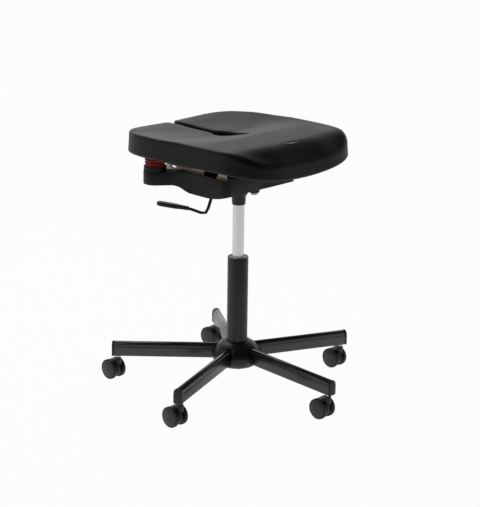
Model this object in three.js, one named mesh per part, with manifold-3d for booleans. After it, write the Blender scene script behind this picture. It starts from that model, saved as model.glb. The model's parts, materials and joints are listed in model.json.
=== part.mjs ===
// Saddle stool on five castors, in millimetres.
// +Z is up and the floor is at z = 0. The sitter faces -Y and has +X on the left hand.
// The lift column stands on the axis of the stool, and the group at the end of this file
// shifts the whole stool so that the middle of its footprint lies on the origin.
import * as THREE from "three";
import { mergeVertices } from "three/addons/utils/BufferGeometryUtils.js";
import Module from "manifold-3d";

const wasm = await Module();
wasm.setup();

// Fits
const seatGap = 0.3; // between pieces that sit on or in each other
const runGap = 0.5; // round pieces that turn or slide past each other
const overrun = 2; // how far a cutter runs past the face that it cuts

// Castors: twin wheels under a hood, the axle behind the stem
const wheelRadius = 25;
const wheelRimReach = 18.2; // from the middle of the castor to the outer edge of a tread
const wheelDomeReach = 21.4; // to the top of the dome that covers the wheel
const treadWidth = 8.4;
const treadEdge = 0.8; // rounded edge of the tread
const discRadius = 22.2; // domed cover inside the tread
const discStep = 1.1; // how far the edge of the cover stands out of the tread
const dishRadius = 22.8; // where the inner side of the wheel leaves the tread
const wheelHubRadius = 8.2;
const wheelHubReach = 4.6; // from the middle of the castor to the inner end of the wheel hub
const wheelHubWall = 4.6; // left between the axle's end and the outside of the dome
const axleRadius = 3;
const castorTrail = 17; // from the stem back to the axle
const webThickness = 8;
const webRadius = 21;
const hoodRadius = 24.3;
const hoodThickness = 2.3;
const hoodWidth = 18.4;
const hoodStartAngle = 42; // degrees up from straight behind the axle
const hoodEndAngle = 152;
const webEndAngle = 218;
const stemRadius = 5.5;
const stemBossRadius = 7.5;
const stemBossHeight = 15.5;
const stemCollarRadius = 8;
const stemCollarHeight = 2;
const stemSocketDepth = 22; // how far the stem reaches into the arm
const stemNeckHeight = 4.4; // bare stem between the castor and the collar
const stemRingRadius = 5; // groove of the grip ring
const stemRingHeight = 2.4;

// Base: five arms of hollow section, plugged by end caps, round a hub
const armCount = 5;
const armReach = 309; // from the column's axis to the face of an end cap
const stemInset = 13.5; // from the face of an end cap in to the castor's stem
const armUnderside = 63.3; // at the outer end
const armHeight = 36;
const armWidth = 21;
const armCornerRadius = 1.2;
const armWall = 2.4;
const armFlankHeight = 22.5; // flat side below the groove
const armGrooveDepth = 1.3;
const armGrooveHeight = 2.2;
const armCrownHalfWidth = 9.8;
const capThickness = 5;
const capProud = 0.5; // how far the cap stands out round the section
const capPlugLength = 30;
const hubCoreApothem = 31.6;
const hubCoreBottom = 58.6;
const hubCoreTop = 111;
const hubFloorThickness = 4;
const hubFloorHole = 15; // the clip of the piston rod lies in this hole
const columnRadius = 25;
const hubShellWall = 2.6;
const hubSlotSide = 1.6; // gap between an arm and the edge of its slot in the shell
// Outside of the hub's shell, radius and height, from the collar round the column down to the foot
const hubOutline = [
  [25.5, 122.5],
  [33, 121],
  [44, 113.5],
  [53, 103.5],
  [59, 94],
  [61, 87],
  [59.5, 78],
  [53.5, 68],
  [46.5, 62.5],
  [42, 61],
];

// Lift column: outer tube, guide bush, gas spring on its piston rod, and the bearing below
const columnTop = 333.5;
const columnWall = 1.6;
const columnFloor = 4;
const columnChamfer = 0.9;
const bushLength = 68;
const bushFunnelDepth = 5;
const bushTopInset = 1.2;
const gasRadius = 14;
const gasWall = 1.8;
const gasTop = 506.6;
const gasLength = 274.6;
const gasPlug = 12; // seal at the lower end of the gas cylinder
const gasNeck = 26; // closed end that holds the valve
const gasTaper = 0.5; // how much the radius falls in the socket
const pistonRodRadius = 5;
const pistonThickness = 12;
const pistonRise = 14; // from the seal up to the piston
const pistonShoulderRadius = 8;
const pistonShoulderHeight = 4;
const bearingRadius = 15;
const bearingHeight = 6;
const bearingGroove = 1.4;
const bearingGrooveHeight = 2;
const clipRadius = 9;
const clipThickness = 1.6;
const clipGroove = 1;
const buttonRadius = 4;
const buttonRise = 6; // how far the valve button stands out of the gas cylinder
const buttonDepth = 14;
const buttonRoom = 6; // left below the button for its travel

// Tilt mechanism: cast tray with two splayed rear arms
const trayHalfWidth = 121.5;
const trayFront = 74.7;
const trayRear = 69.3; // where the tray ends between its arms
const trayTop = 551.6;
const trayBelly = 502; // underside at the column
const trayFrontUnderside = 512.8;
const trayPadUnderside = 517.6;
const trayPadTop = 547.6;
const traySideEnd = 31.3; // where the straight side starts to splay
const trayElbowInset = [14, 47]; // from the middle of a pad to the outer corner of its arm
const trayArmInset = 41; // from the middle of a pad to the inner face of its arm
const trayBellyFront = 12; // the deep part of the underside, to the front and to the rear
const trayBellyRear = 28;
const trayBellyEase = 28; // how gently the underside rises from there
const trayRearWallTop = 520.6;
const trayWall = 4.5;
const trayFloor = 4;
const trayCornerRadius = 18;
const trayChannelEnds = [-27, 25]; // shallow upright channel in the front wall
const trayChannelDepth = 2.8;
const trayRibThickness = 3;
const trayRibPlace = 42;
const trayRibTop = 523.6;
const padRadius = 28;
const padInset = [52.7, 111.7]; // from the seat's side and rear to the middle of a pad
const socketBottom = 463.2;
const socketRadius = 19.4;
const socketTopRadius = 20.6;
const socketFlangeRadius = 27;
const socketFlangeThickness = 5;
const socketBead = 2.2;

// Springs under the rear corners of the seat
const cupRadius = 27;
const cupHeight = 12;
const cupWall = 1.6;
const cupFloor = 2;
const springRadius = 24.6;
const springRootRadius = 22.4;
const springRibs = 7;
const springBore = 6;
const springStudRadius = 4.6;
const springStudHeight = 30;
const springStudHead = 9;
const springStudHeadHeight = 4;

// Seat carrier: pressed steel plate that rocks on a shaft at the front of the tray
const carrierTop = 603.1;
const carrierThickness = 3;
const carrierHalfWidth = 113.5;
const carrierFront = 92.7;
const carrierRear = 141.3;
const carrierCornerRadius = 16;
const carrierFlangeX = 103.6; // inner face of the side flanges
const carrierFlangeBottom = 538.6;
const carrierFlangeFront = -0.7;
const carrierFlangeRear = 137.3;
const carrierFlangeSlope = 18;
const carrierSlotLength = 12;
const carrierSlotHeight = 4;
const carrierSlotInset = 20;
const carrierSlotRise = 14;
const carrierTabRadius = 25;
const earRadius = 12;
const earTop = [-74.7, -44.7]; // ends of the ear at the plate
const earWaist = [-39.7, 563.6]; // the rear edge of the ear slants between these two corners
const earShoulder = [-27.7, 547.6];
const shaftY = -56.7;
const shaftZ = 534.6;
const shaftRadius = 6;
const pivotBushWall = 1.6;
const pivotBushFlange = 2.4;
const bossThickness = 12;
const bossHalfLength = 12;
const bossTopWall = 7;
const stopY = -50;
const stopBoltRadius = 4;
const stopHeadRadius = 7.2;
const stopHeadHeight = 5.5;
const stopBoltTop = 520.6;
const stopNutHeight = 6;
const stopBossRadius = 12.5;
const stopBossHeight = 12;

// Gas lever: bent rod with a paddle grip
const leverRadius = 3.8;
const leverHeight = 4.6; // of the rod's axis above the valve button, its radius included
const leverInnerEnd = 11;
const leverPivotX = -45;
const leverShoulderX = -83;
const leverBend = [-112, -3, 458.5];
const leverKnee = [-124, 41, 467];
const leverTip = [-172, 101, 478];
const leverBendRadius = 13;
const leverBossRadius = 7;
const leverBossWidth = 11;
const leverPinRadius = 2.5;
const leverLugThickness = 3.5;
const leverLugHalfLength = 7;
const leverLugTopWall = 4;
const leverSlotMargin = 5;
const gripLength = 76;
const gripWidth = 23;
const gripThickness = 8.4;
const gripNeckWidth = 11;
const gripEdge = 2;
const gripRodDepth = 56;

// Seat: foam moulded round a board
const seatHalfWidth = 203.7; // at the lower rim
const seatFront = 216.7;
const seatRear = 240;
const seatEdgeHalfWidth = 199.8; // at the top edge
const seatEdgeFront = 213.5;
const seatEdgeRear = 236;
const seatRise = 39.9; // from the carrier's plate up to the highest line of the sides
const seatFrontFall = 7; // how much the sides drop to the front and to the rear
const seatRearFall = 6;
const seatHollow = 17.5; // depth of the hollow between the two halves
const hollowStart = 30; // it starts ahead of the column and is full behind it
const hollowFull = 45;
const hollowEase = 110; // from here it gets shallower to the rear
const seatRoll = 5; // how much the middle drops before it rolls over the front edge
const seatRollStart = 80;
const rimDrop = 12.6; // from the carrier's plate down to the rim beside the column
const rimFrontRise = 7.5; // the rim rises in front of the column and hangs in the middle
const rimFrontReach = 110;
const rimFrontHang = 25;
const rimRearFall = 7;
const seatEdgeRadius = 5.5; // crisp edge at the sides and the rear
const seatFrontRadius = 29; // rolled front edge
const rollStart = 135; // where the crisp edge of the sides starts to open into the roll
const rollFull = 200;
const seatRimRadius = 5;
const foamWall = 17;
const boardThickness = 10;
const boardBottom = carrierTop + seatGap;
const slitHalfWidth = 8.5;
const slitMouthRadius = 9;
const slitEnd = 100; // where the slit widens into the drop
const dropHalfWidth = 24.5;
const dropWidest = 40;
const dropTip = -16;
const badgeY = 163.4; // bare oval where a badge would be, forward of the column
const badgeHalfWidth = 20;
const badgeHalfHeight = 7.5;
const badgeProud = 0.7;

// Shares and counts that shape the outlines
const armSlope_share = 0.0447; // rise of an arm towards the hub
const seatFrontPower_share = 4.6;
const seatRearPower_share = 3.9;
const seatEdgeFrontPower_share = 4;
const seatEdgeRearPower_share = 3.6;
const hollowEase_share = 0.38;
const seatRingShares = [0.16, 0.34, 0.52, 0.7, 0.86, 1];
const padArc = [-50, 170]; // degrees, the round of a pad from its outer to its inner side
const tabArc = [-50, 110];
const roundSteps = 20; // facets of a wheel and of a turned piece that shows
const tubeSteps = 18; // facets of the column and of what slides in it
const springSteps = 16;
const smallSteps = 12; // facets of a small turned piece
const shellSteps = 24; // facets of the hub's shell
const seatSteps = 64; // points round the seat
const edgeSteps = 3; // steps of a rounded edge of the seat

// Derived heights and places
const stemCircleRadius = armReach - stemInset;
const stemCollarTop = armUnderside + armSlope_share * (stemInset - stemCollarRadius) - seatGap;
const stemCollarBottom = stemCollarTop - stemCollarHeight;
const castorTop = stemCollarBottom - stemNeckHeight;
const stemTop = armUnderside + stemSocketDepth;
const hubFloorTop = hubCoreBottom + hubFloorThickness;
const columnBottom = hubFloorTop + seatGap;
const columnBore = columnRadius - columnWall;
const gasBottom = gasTop - gasLength;
const gasSocketTop = trayBelly - seatGap;
const springBottom = trayPadTop + seatGap + cupFloor + seatGap;
const springTop = carrierTop - carrierThickness - seatGap;
const trayInside = trayHalfWidth - trayWall;
const springX = seatHalfWidth - padInset[0];
const springY = seatRear - padInset[1];
const trayElbow = [springX - trayElbowInset[0], springY - trayElbowInset[1]];
const trayArmInner = springX - trayArmInset;
const seatTop = carrierTop + seatRise;
const seatRim = carrierTop - rimDrop;
const recessBottom = seatRim - 2 * rimFrontHang;
const leverAxisZ = gasTop + buttonRise + seatGap + leverRadius;
const floorTop = trayBelly + trayFloor;
const bossX = carrierFlangeX - 2 * seatGap - pivotBushFlange - bossThickness;

const plain = (colour, roughness, metalness) =>
  new THREE.MeshStandardMaterial({ color: colour, roughness, metalness });
const finishes = {
  foam: plain(0x3a3a36, 0.55, 0),
  board: plain(0xb08a5a, 0.7, 0),
  casting: plain(0x2f302e, 0.5, 0.1),
  blackSteel: plain(0x202124, 0.4, 0.5),
  zinc: plain(0xb8b4a0, 0.4, 0.9),
  chrome: plain(0xcfcac6, 0.15, 1),
  armPaint: plain(0x303033, 0.35, 0.2),
  plastic: plain(0x333333, 0.5, 0),
  wheel: plain(0x3c3c3e, 0.45, 0),
  rubber: plain(0x8a1d14, 0.6, 0),
  bush: plain(0xd8d6d0, 0.5, 0),
};

const hexCorner = 1 / Math.cos(Math.PI / 6); // corner of a hexagon over its flat
const degrees = (angle) => THREE.MathUtils.degToRad(angle);

// A closed solid for cutting and joining, from a geometry whose shared points are merged.
function solidOf(geometry) {
  const bare = geometry.index ? geometry.toNonIndexed() : geometry.clone();
  bare.deleteAttribute("normal");
  bare.deleteAttribute("uv");
  const merged = mergeVertices(bare);
  const corners = merged.index.array;
  const kept = [];
  for (let i = 0; i < corners.length; i += 3) {
    const [a, b, c] = [corners[i], corners[i + 1], corners[i + 2]];
    if (a !== b && b !== c && c !== a) kept.push(a, b, c);
  }
  return new wasm.Manifold(
    new wasm.Mesh({
      numProp: 3,
      vertProperties: merged.attributes.position.array,
      triVerts: new Uint32Array(kept),
    }),
  );
}

function geometryOf(solid) {
  const mesh = solid.getMesh();
  const geometry = new THREE.BufferGeometry();
  geometry.setAttribute("position", new THREE.BufferAttribute(mesh.vertProperties, 3));
  geometry.setIndex(new THREE.BufferAttribute(mesh.triVerts, 1));
  return geometry;
}

const cut = (body, ...tools) =>
  geometryOf(tools.reduce((left, tool) => left.subtract(solidOf(tool)), solidOf(body)));
const join = (first, ...more) =>
  geometryOf(more.reduce((left, piece) => left.add(solidOf(piece)), solidOf(first)));
const common = (first, second) => geometryOf(solidOf(first).intersect(solidOf(second)));

// A solid turned about Z from [radius, height] points. Its flats, not its corners, lie at the
// given radii, and one flat faces straight down when the axis is laid level.
function turned(profile, steps, closed = false) {
  const spread = 1 / Math.cos(Math.PI / steps);
  const points = profile.map(([r, z]) => new THREE.Vector2(r * spread, z));
  if (THREE.ShapeUtils.area(points) < 0) points.reverse();
  if (closed) points.push(points[0].clone());
  const lathe = new THREE.LatheGeometry(points, steps, Math.PI / steps);
  return lathe.rotateX(Math.PI / 2);
}

const rod = (radius, bottom, top, steps = smallSteps) =>
  turned([[0, bottom], [radius, bottom], [radius, top], [0, top]], steps);
const ring = (inner, outer, bottom, top, steps = smallSteps) =>
  turned([[inner, bottom], [outer, bottom], [outer, top], [inner, top]], steps, true);

// An outline raised along Z.
const raised = (shape, bottom, top, curveSegments = 6) =>
  new THREE.ExtrudeGeometry(shape, {
    depth: top - bottom,
    bevelEnabled: false,
    curveSegments,
  }).translate(0, 0, bottom);

const block = (x0, x1, y0, y1, z0, z1) =>
  new THREE.BoxGeometry(x1 - x0, y1 - y0, z1 - z0).translate(
    (x0 + x1) / 2,
    (y0 + y1) / 2,
    (z0 + z1) / 2,
  );

const outlineOf = (points) => new THREE.Shape(points.map(([x, y]) => new THREE.Vector2(x, y)));

const stool = new THREE.Group();

function piece(name, geometry, finish, parent = stool) {
  const mesh = new THREE.Mesh(geometry, finish);
  mesh.name = name;
  parent.add(mesh);
  return mesh;
}

// Castors. Each is drawn with its stem on the origin and trails towards +Y.

// One wheel, its axle along X and its dome towards +X.
function wheelGeometry() {
  const tyreInner = wheelRimReach - treadWidth;
  const axleEnd = wheelDomeReach - wheelHubWall;
  const bore = axleRadius + seatGap;
  const profile = [
    [0, axleEnd],
    [bore, axleEnd],
    [bore, wheelHubReach],
    [wheelHubRadius, wheelHubReach],
    [dishRadius, tyreInner],
    [wheelRadius, tyreInner],
    [wheelRadius, wheelRimReach - treadEdge],
    [wheelRadius - treadEdge, wheelRimReach],
    [discRadius, wheelRimReach],
    [discRadius, wheelRimReach + discStep],
    [discRadius * 0.8, (wheelRimReach + discStep + wheelDomeReach) / 2],
    [discRadius * 0.45, wheelDomeReach - discStep / 4],
    [0, wheelDomeReach],
  ];
  return turned(profile, roundSteps).rotateY(Math.PI / 2);
}

// The castor's body: a web between the wheels, the hood over them and the boss of the stem.
function castorBodyGeometry() {
  const sector = (radius, from, to) => {
    const shape = new THREE.Shape();
    shape.moveTo(0, 0);
    shape.absarc(0, 0, radius, degrees(from), degrees(to));
    return shape;
  };
  const hoodShape = new THREE.Shape();
  hoodShape.absarc(0, 0, hoodRadius, degrees(hoodStartAngle), degrees(hoodEndAngle));
  hoodShape.absarc(
    0, 0, hoodRadius - hoodThickness, degrees(hoodEndAngle), degrees(hoodStartAngle), true,
  );
  const upright = (shape, thickness) =>
    raised(shape, -thickness / 2, thickness / 2, 5)
      .rotateY(Math.PI / 2)
      .rotateX(Math.PI / 2)
      .translate(0, castorTrail, wheelRadius);
  const web = upright(sector(webRadius, hoodStartAngle, webEndAngle), webThickness);
  const rim = upright(sector(hoodRadius - hoodThickness / 2, hoodStartAngle, hoodEndAngle), webThickness);
  const hood = upright(hoodShape, hoodWidth);
  const hub = rod(wheelHubRadius, -webThickness / 2, webThickness / 2)
    .rotateY(Math.PI / 2)
    .translate(0, castorTrail, wheelRadius);
  const boss = rod(stemBossRadius, castorTop - stemBossHeight, castorTop, smallSteps);
  const axleHole = rod(axleRadius + seatGap, -hoodWidth, hoodWidth)
    .rotateY(Math.PI / 2)
    .translate(0, castorTrail, wheelRadius);
  const stemHole = rod(
    stemRadius + seatGap, castorTop - stemBossHeight + stemRingHeight, castorTop + overrun,
  );
  return cut(join(web, rim, hood, hub, boss), axleHole, stemHole);
}

const axleGeometry = () => {
  const reach = wheelDomeReach - wheelHubWall - seatGap;
  return rod(axleRadius, -reach, reach)
    .rotateY(Math.PI / 2)
    .translate(0, castorTrail, wheelRadius);
};

const stemGeometry = () =>
  turned(
    [
      [0, castorTop - stemBossHeight + stemRingHeight + seatGap],
      [stemRadius, castorTop - stemBossHeight + stemRingHeight + seatGap],
      [stemRadius, stemCollarBottom],
      [stemCollarRadius, stemCollarBottom],
      [stemCollarRadius, stemCollarTop],
      [stemRadius, stemCollarTop],
      [stemRadius, stemTop - 2 * stemRingHeight],
      [stemRingRadius, stemTop - 2 * stemRingHeight],
      [stemRingRadius, stemTop - stemRingHeight],
      [stemRadius, stemTop - stemRingHeight],
      [stemRingRadius, stemTop],
      [0, stemTop],
    ],
    smallSteps,
  );

function addCastor(number, x, y) {
  const castor = new THREE.Group();
  castor.position.set(x, y, 0);
  stool.add(castor);
  piece(`castor_${number}_body`, castorBodyGeometry(), finishes.plastic, castor);
  piece(`castor_${number}_stem`, stemGeometry(), finishes.chrome, castor);
  piece(`castor_${number}_axle`, axleGeometry(), finishes.blackSteel, castor);
  const left = piece(`castor_${number}_wheel_left`, wheelGeometry(), finishes.wheel, castor);
  left.position.set(0, castorTrail, wheelRadius);
  const right = piece(`castor_${number}_wheel_right`, wheelGeometry(), finishes.wheel, castor);
  right.position.set(0, castorTrail, wheelRadius);
  right.rotation.z = Math.PI;
}

// Arms. Each is drawn along +X from the column's axis.

// Section of an arm, or of a piece that fits it, grown by the given amount. The section's x is
// across the arm and its y is the height above the underside.
function armSection(grow, crownSteps = 6) {
  const half = armWidth / 2 + grow;
  const crownHeight = armHeight - armFlankHeight - armGrooveHeight;
  const crownHalf = armCrownHalfWidth + grow;
  const shoulder = armFlankHeight + armGrooveHeight;
  const corner = armCornerRadius;
  const points = [
    [-half + corner, -grow],
    [half - corner, -grow],
    [half, corner - grow],
    [half, armFlankHeight],
    [half - armGrooveDepth - grow, armFlankHeight + armGrooveDepth / 2],
    [half - armGrooveDepth - grow, shoulder - armGrooveDepth / 2],
  ];
  for (let i = 0; i <= crownSteps; i++) {
    const turn = (Math.PI * i) / crownSteps;
    const rise = Math.sin(turn) ** 0.8 * (crownHeight + grow);
    points.push([crownHalf * Math.cos(turn), shoulder + rise]);
  }
  points.push(
    [-half + armGrooveDepth + grow, shoulder - armGrooveDepth / 2],
    [-half + armGrooveDepth + grow, armFlankHeight + armGrooveDepth / 2],
    [-half, armFlankHeight],
    [-half, corner - grow],
  );
  return points;
}

// Smooth outline of the cap and of the shell's slots, without the groove.
function archSection(grow, crownSteps = 6) {
  const half = armWidth / 2 + grow;
  const crownHeight = armHeight - armFlankHeight + grow;
  const points = [
    [-half, armCornerRadius - grow],
    [-half + armCornerRadius, -grow],
    [half - armCornerRadius, -grow],
    [half, armCornerRadius - grow],
  ];
  for (let i = 0; i <= crownSteps; i++) {
    const turn = (Math.PI * i) / crownSteps;
    points.push([half * Math.cos(turn), armFlankHeight + Math.sin(turn) ** 0.75 * crownHeight]);
  }
  return points;
}

const armCavity = (shrink) => {
  const half = armWidth / 2 - armWall - shrink;
  const top = armHeight - armWall - shrink;
  return [
    [-half, armWall + shrink],
    [half, armWall + shrink],
    [half, armFlankHeight],
    [half * 0.72, top],
    [-half * 0.72, top],
    [-half, armFlankHeight],
  ];
};

// An arm rises towards the hub by its slope, while its ends stay upright.
const armLift = new THREE.Matrix4().set(
  1, 0, 0, 0,
  0, 1, 0, 0,
  -armSlope_share, 0, 1, armUnderside + armSlope_share * armReach,
  0, 0, 0, 1,
);

// Raises a section along the arm, from one radius to another.
const alongArm = (points, from, to, hole) => {
  const shape = outlineOf(points);
  if (hole) shape.holes.push(outlineOf(hole));
  return raised(shape, from, to)
    .rotateX(Math.PI / 2)
    .rotateZ(Math.PI / 2)
    .applyMatrix4(armLift);
};

const armInner = hubCoreApothem + seatGap;
const armOuter = armReach - capThickness - seatGap;

function armGeometry() {
  const tube = alongArm(armSection(0), armInner, armOuter, armCavity(0));
  const stemHole = rod(stemRadius + runGap, armUnderside - overrun, armUnderside + 2 * armWall)
    .translate(stemCircleRadius, 0, 0);
  return cut(tube, stemHole);
}

function capGeometry() {
  const plate = alongArm(archSection(capProud), armReach - capThickness, armReach);
  const plug = alongArm(
    armCavity(seatGap), armReach - capThickness - capPlugLength, armReach - capThickness / 2,
  );
  const socket = rod(stemRadius + seatGap, armUnderside - overrun, stemTop + seatGap)
    .translate(stemCircleRadius, 0, 0);
  return cut(join(plate, plug), socket);
}

// Hub: pentagonal core that the arms butt against, with a floor that carries the column, and a
// moulded shell outside.

function polygon(sides, apothem, turn) {
  const corner = apothem / Math.cos(Math.PI / sides);
  const points = [];
  for (let i = 0; i < sides; i++) {
    const angle = turn + (2 * Math.PI * (i + 0.5)) / sides;
    points.push([corner * Math.cos(angle), corner * Math.sin(angle)]);
  }
  return points;
}

const armAngle = (index) => -Math.PI / 2 + (2 * Math.PI * index) / armCount;

function hubCoreGeometry() {
  const core = raised(
    outlineOf(polygon(armCount, hubCoreApothem, armAngle(0))), hubCoreBottom, hubCoreTop,
  );
  const bore = rod(columnRadius + seatGap, hubFloorTop, hubCoreTop + overrun, tubeSteps);
  const clipHole = rod(hubFloorHole, hubCoreBottom - overrun, hubFloorTop + overrun, tubeSteps);
  return cut(core, bore, clipHole);
}

function hubShellGeometry() {
  const inside = hubOutline.map(([r, z], i) => {
    if (i === 0) return [r, z - hubShellWall];
    const drop = z > hubOutline[5][1] ? hubShellWall * 0.7 : 0;
    const lift = i === hubOutline.length - 1 ? hubShellWall : 0;
    return [r - hubShellWall * 0.8, z - drop + lift];
  });
  const shell = turned([...hubOutline, ...inside.reverse()], shellSteps, true);
  const slots = [];
  for (let i = 0; i < armCount; i++) {
    slots.push(
      alongArm(archSection(hubSlotSide), hubCoreApothem, armReach).rotateZ(armAngle(i)),
    );
  }
  return cut(shell, ...slots);
}

function addBase() {
  piece("hub_core", hubCoreGeometry(), finishes.blackSteel);
  piece("hub_shell", hubShellGeometry(), finishes.plastic);
  for (let i = 0; i < armCount; i++) {
    const angle = armAngle(i);
    const [x, y] = [stemCircleRadius * Math.cos(angle), stemCircleRadius * Math.sin(angle)];
    piece(`arm_${i + 1}`, armGeometry().rotateZ(angle), finishes.armPaint);
    piece(`end_cap_${i + 1}`, capGeometry().rotateZ(angle), finishes.plastic);
    addCastor(i + 1, x, y);
  }
}

// Column and gas spring
function addColumn() {
  const rodHole = pistonRodRadius + seatGap;
  const columnFloorTop = columnBottom + columnFloor;
  piece(
    "column_tube",
    turned(
      [
        [rodHole, columnBottom],
        [columnRadius, columnBottom],
        [columnRadius, columnTop - columnChamfer],
        [columnRadius - columnChamfer, columnTop],
        [columnBore, columnTop],
        [columnBore, columnFloorTop],
        [rodHole, columnFloorTop],
      ],
      tubeSteps,
      true,
    ),
    finishes.blackSteel,
  );
  const bushTop = columnTop - bushTopInset;
  piece(
    "guide_bush",
    turned(
      [
        [gasRadius + seatGap, bushTop - bushLength],
        [columnBore - seatGap, bushTop - bushLength],
        [columnBore - seatGap, bushTop],
        [gasRadius + seatGap, bushTop - bushFunnelDepth],
      ],
      tubeSteps,
      true,
    ),
    finishes.bush,
  );
  const bearingBottom = columnFloorTop + seatGap;
  const bearingTop = bearingBottom + bearingHeight;
  const grooveBottom = (bearingBottom + bearingTop - bearingGrooveHeight) / 2;
  piece(
    "thrust_bearing",
    turned(
      [
        [rodHole, bearingBottom],
        [bearingRadius, bearingBottom],
        [bearingRadius, grooveBottom],
        [bearingRadius - bearingGroove, grooveBottom],
        [bearingRadius - bearingGroove, grooveBottom + bearingGrooveHeight],
        [bearingRadius, grooveBottom + bearingGrooveHeight],
        [bearingRadius, bearingTop],
        [rodHole, bearingTop],
      ],
      tubeSteps,
      true,
    ),
    finishes.zinc,
  );
  const clipTop = columnBottom - seatGap;
  const clipBottom = clipTop - clipThickness;
  const shoulderBottom = bearingTop + seatGap;
  const pistonBottom = gasBottom + gasPlug + seatGap + (pistonRise - pistonThickness);
  piece(
    "piston_rod",
    turned(
      [
        [0, clipBottom - clipThickness],
        [pistonRodRadius, clipBottom - clipThickness],
        [pistonRodRadius, clipBottom],
        [pistonRodRadius - clipGroove, clipBottom],
        [pistonRodRadius - clipGroove, clipTop],
        [pistonRodRadius, clipTop],
        [pistonRodRadius, shoulderBottom],
        [pistonShoulderRadius, shoulderBottom],
        [pistonShoulderRadius, shoulderBottom + pistonShoulderHeight],
        [pistonRodRadius, shoulderBottom + pistonShoulderHeight],
        [pistonRodRadius, pistonBottom],
        [gasRadius - gasWall - seatGap, pistonBottom],
        [gasRadius - gasWall - seatGap, pistonBottom + pistonThickness],
        [0, pistonBottom + pistonThickness],
      ],
      tubeSteps,
    ),
    finishes.chrome,
  );
  piece(
    "retaining_clip",
    ring(pistonRodRadius - clipGroove + seatGap, clipRadius, clipBottom + seatGap, clipTop - seatGap,
      tubeSteps),
    finishes.zinc,
  );
  const neckBottom = gasTop - gasNeck;
  const buttonBore = buttonRadius + seatGap;
  piece(
    "gas_cylinder",
    turned(
      [
        [rodHole, gasBottom],
        [gasRadius, gasBottom],
        [gasRadius, socketBottom],
        [gasRadius - gasTaper, gasTop],
        [buttonBore, gasTop],
        [buttonBore, neckBottom],
        [gasRadius - gasWall, neckBottom],
        [gasRadius - gasWall, gasBottom + gasPlug],
        [rodHole, gasBottom + gasPlug],
      ],
      tubeSteps,
      true,
    ),
    finishes.chrome,
  );
  piece(
    "valve_button",
    rod(buttonRadius, gasTop - buttonDepth, gasTop + buttonRise, tubeSteps),
    finishes.blackSteel,
  );
}

// Tilt mechanism

// Plan of the tray with its two splayed arms, each ending in a round pad.
function trayPlan() {
  const half = trayHalfWidth;
  const corner = trayCornerRadius;
  const shape = new THREE.Shape();
  const arc = (x, y, radius, from, to) =>
    shape.absarc(x, y, radius, degrees(from), degrees(to));
  shape.moveTo(-half + corner, -trayFront);
  arc(half - corner, -trayFront + corner, corner, -90, 0);
  shape.lineTo(half, traySideEnd);
  shape.lineTo(...trayElbow);
  arc(springX, springY, padRadius, ...padArc);
  shape.lineTo(trayArmInner, springY - padRadius);
  shape.lineTo(trayArmInner, trayRear);
  shape.lineTo(-trayArmInner, trayRear);
  shape.lineTo(-trayArmInner, springY - padRadius);
  arc(-springX, springY, padRadius, 180 - padArc[1], 180 - padArc[0]);
  shape.lineTo(-trayElbow[0], trayElbow[1]);
  shape.lineTo(-half, traySideEnd);
  arc(-half + corner, -trayFront + corner, corner, 180, 270);
  return shape;
}

// The room inside the tray's walls.
function trayRoomPlan() {
  const half = trayInside;
  const corner = trayCornerRadius - trayWall;
  const shape = new THREE.Shape();
  shape.moveTo(-half + corner, -trayFront + trayWall);
  shape.absarc(half - corner, -trayFront + trayWall + corner, corner, degrees(-90), 0);
  shape.lineTo(half, trayRear - trayWall);
  shape.lineTo(-half, trayRear - trayWall);
  shape.absarc(-half + corner, -trayFront + trayWall + corner, corner, degrees(180), degrees(270));
  return shape;
}

// Side of the tray, deepest round the column and thinner at the pads. The shape's x is the
// stool's y and its y is the height.
function traySide(lift, top, padTop) {
  const shape = new THREE.Shape();
  const front = -trayFront - overrun;
  const rear = springY + padRadius + overrun;
  const belly = trayBelly + lift;
  const padLow = trayPadUnderside + lift;
  shape.moveTo(front, trayFrontUnderside + lift);
  shape.lineTo(-trayFront, trayFrontUnderside + lift);
  shape.quadraticCurveTo(-trayBellyFront - trayBellyEase, belly, -trayBellyFront, belly);
  shape.lineTo(trayBellyRear, belly);
  shape.bezierCurveTo(
    trayBellyRear + trayBellyEase, belly, trayRear - trayBellyEase / 2, padLow,
    trayElbow[1] + overrun, padLow,
  );
  shape.lineTo(rear, padLow);
  shape.lineTo(rear, padTop);
  shape.lineTo(trayElbow[1] + 2 * trayWall, padTop);
  shape.lineTo(trayElbow[1], top);
  shape.lineTo(front, top);
  const length = 2 * (springX + padRadius + overrun);
  return raised(shape, -length / 2, length / 2, 5).rotateY(Math.PI / 2).rotateX(Math.PI / 2);
}

// Shallow channel down the outside of the front wall.
function trayChannelGeometry() {
  const [start, end] = trayChannelEnds;
  const shape = new THREE.Shape();
  shape.moveTo(start, -trayFront - overrun);
  shape.lineTo(end, -trayFront - overrun);
  shape.lineTo(end, -trayFront);
  shape.quadraticCurveTo((start + end) / 2, -trayFront + 2 * trayChannelDepth, start, -trayFront);
  return raised(shape, trayBelly - overrun, trayTop + overrun, 7);
}

function leverSlotGeometry() {
  const low = trayBelly - overrun;
  const high = trayBelly + trayFloor + overrun;
  const inner = leverShoulderX + leverSlotMargin;
  const outer = leverBend[0] + leverSlotMargin;
  return block(outer, inner, -2 * leverRadius, 3 * leverRadius, low, high);
}

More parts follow.
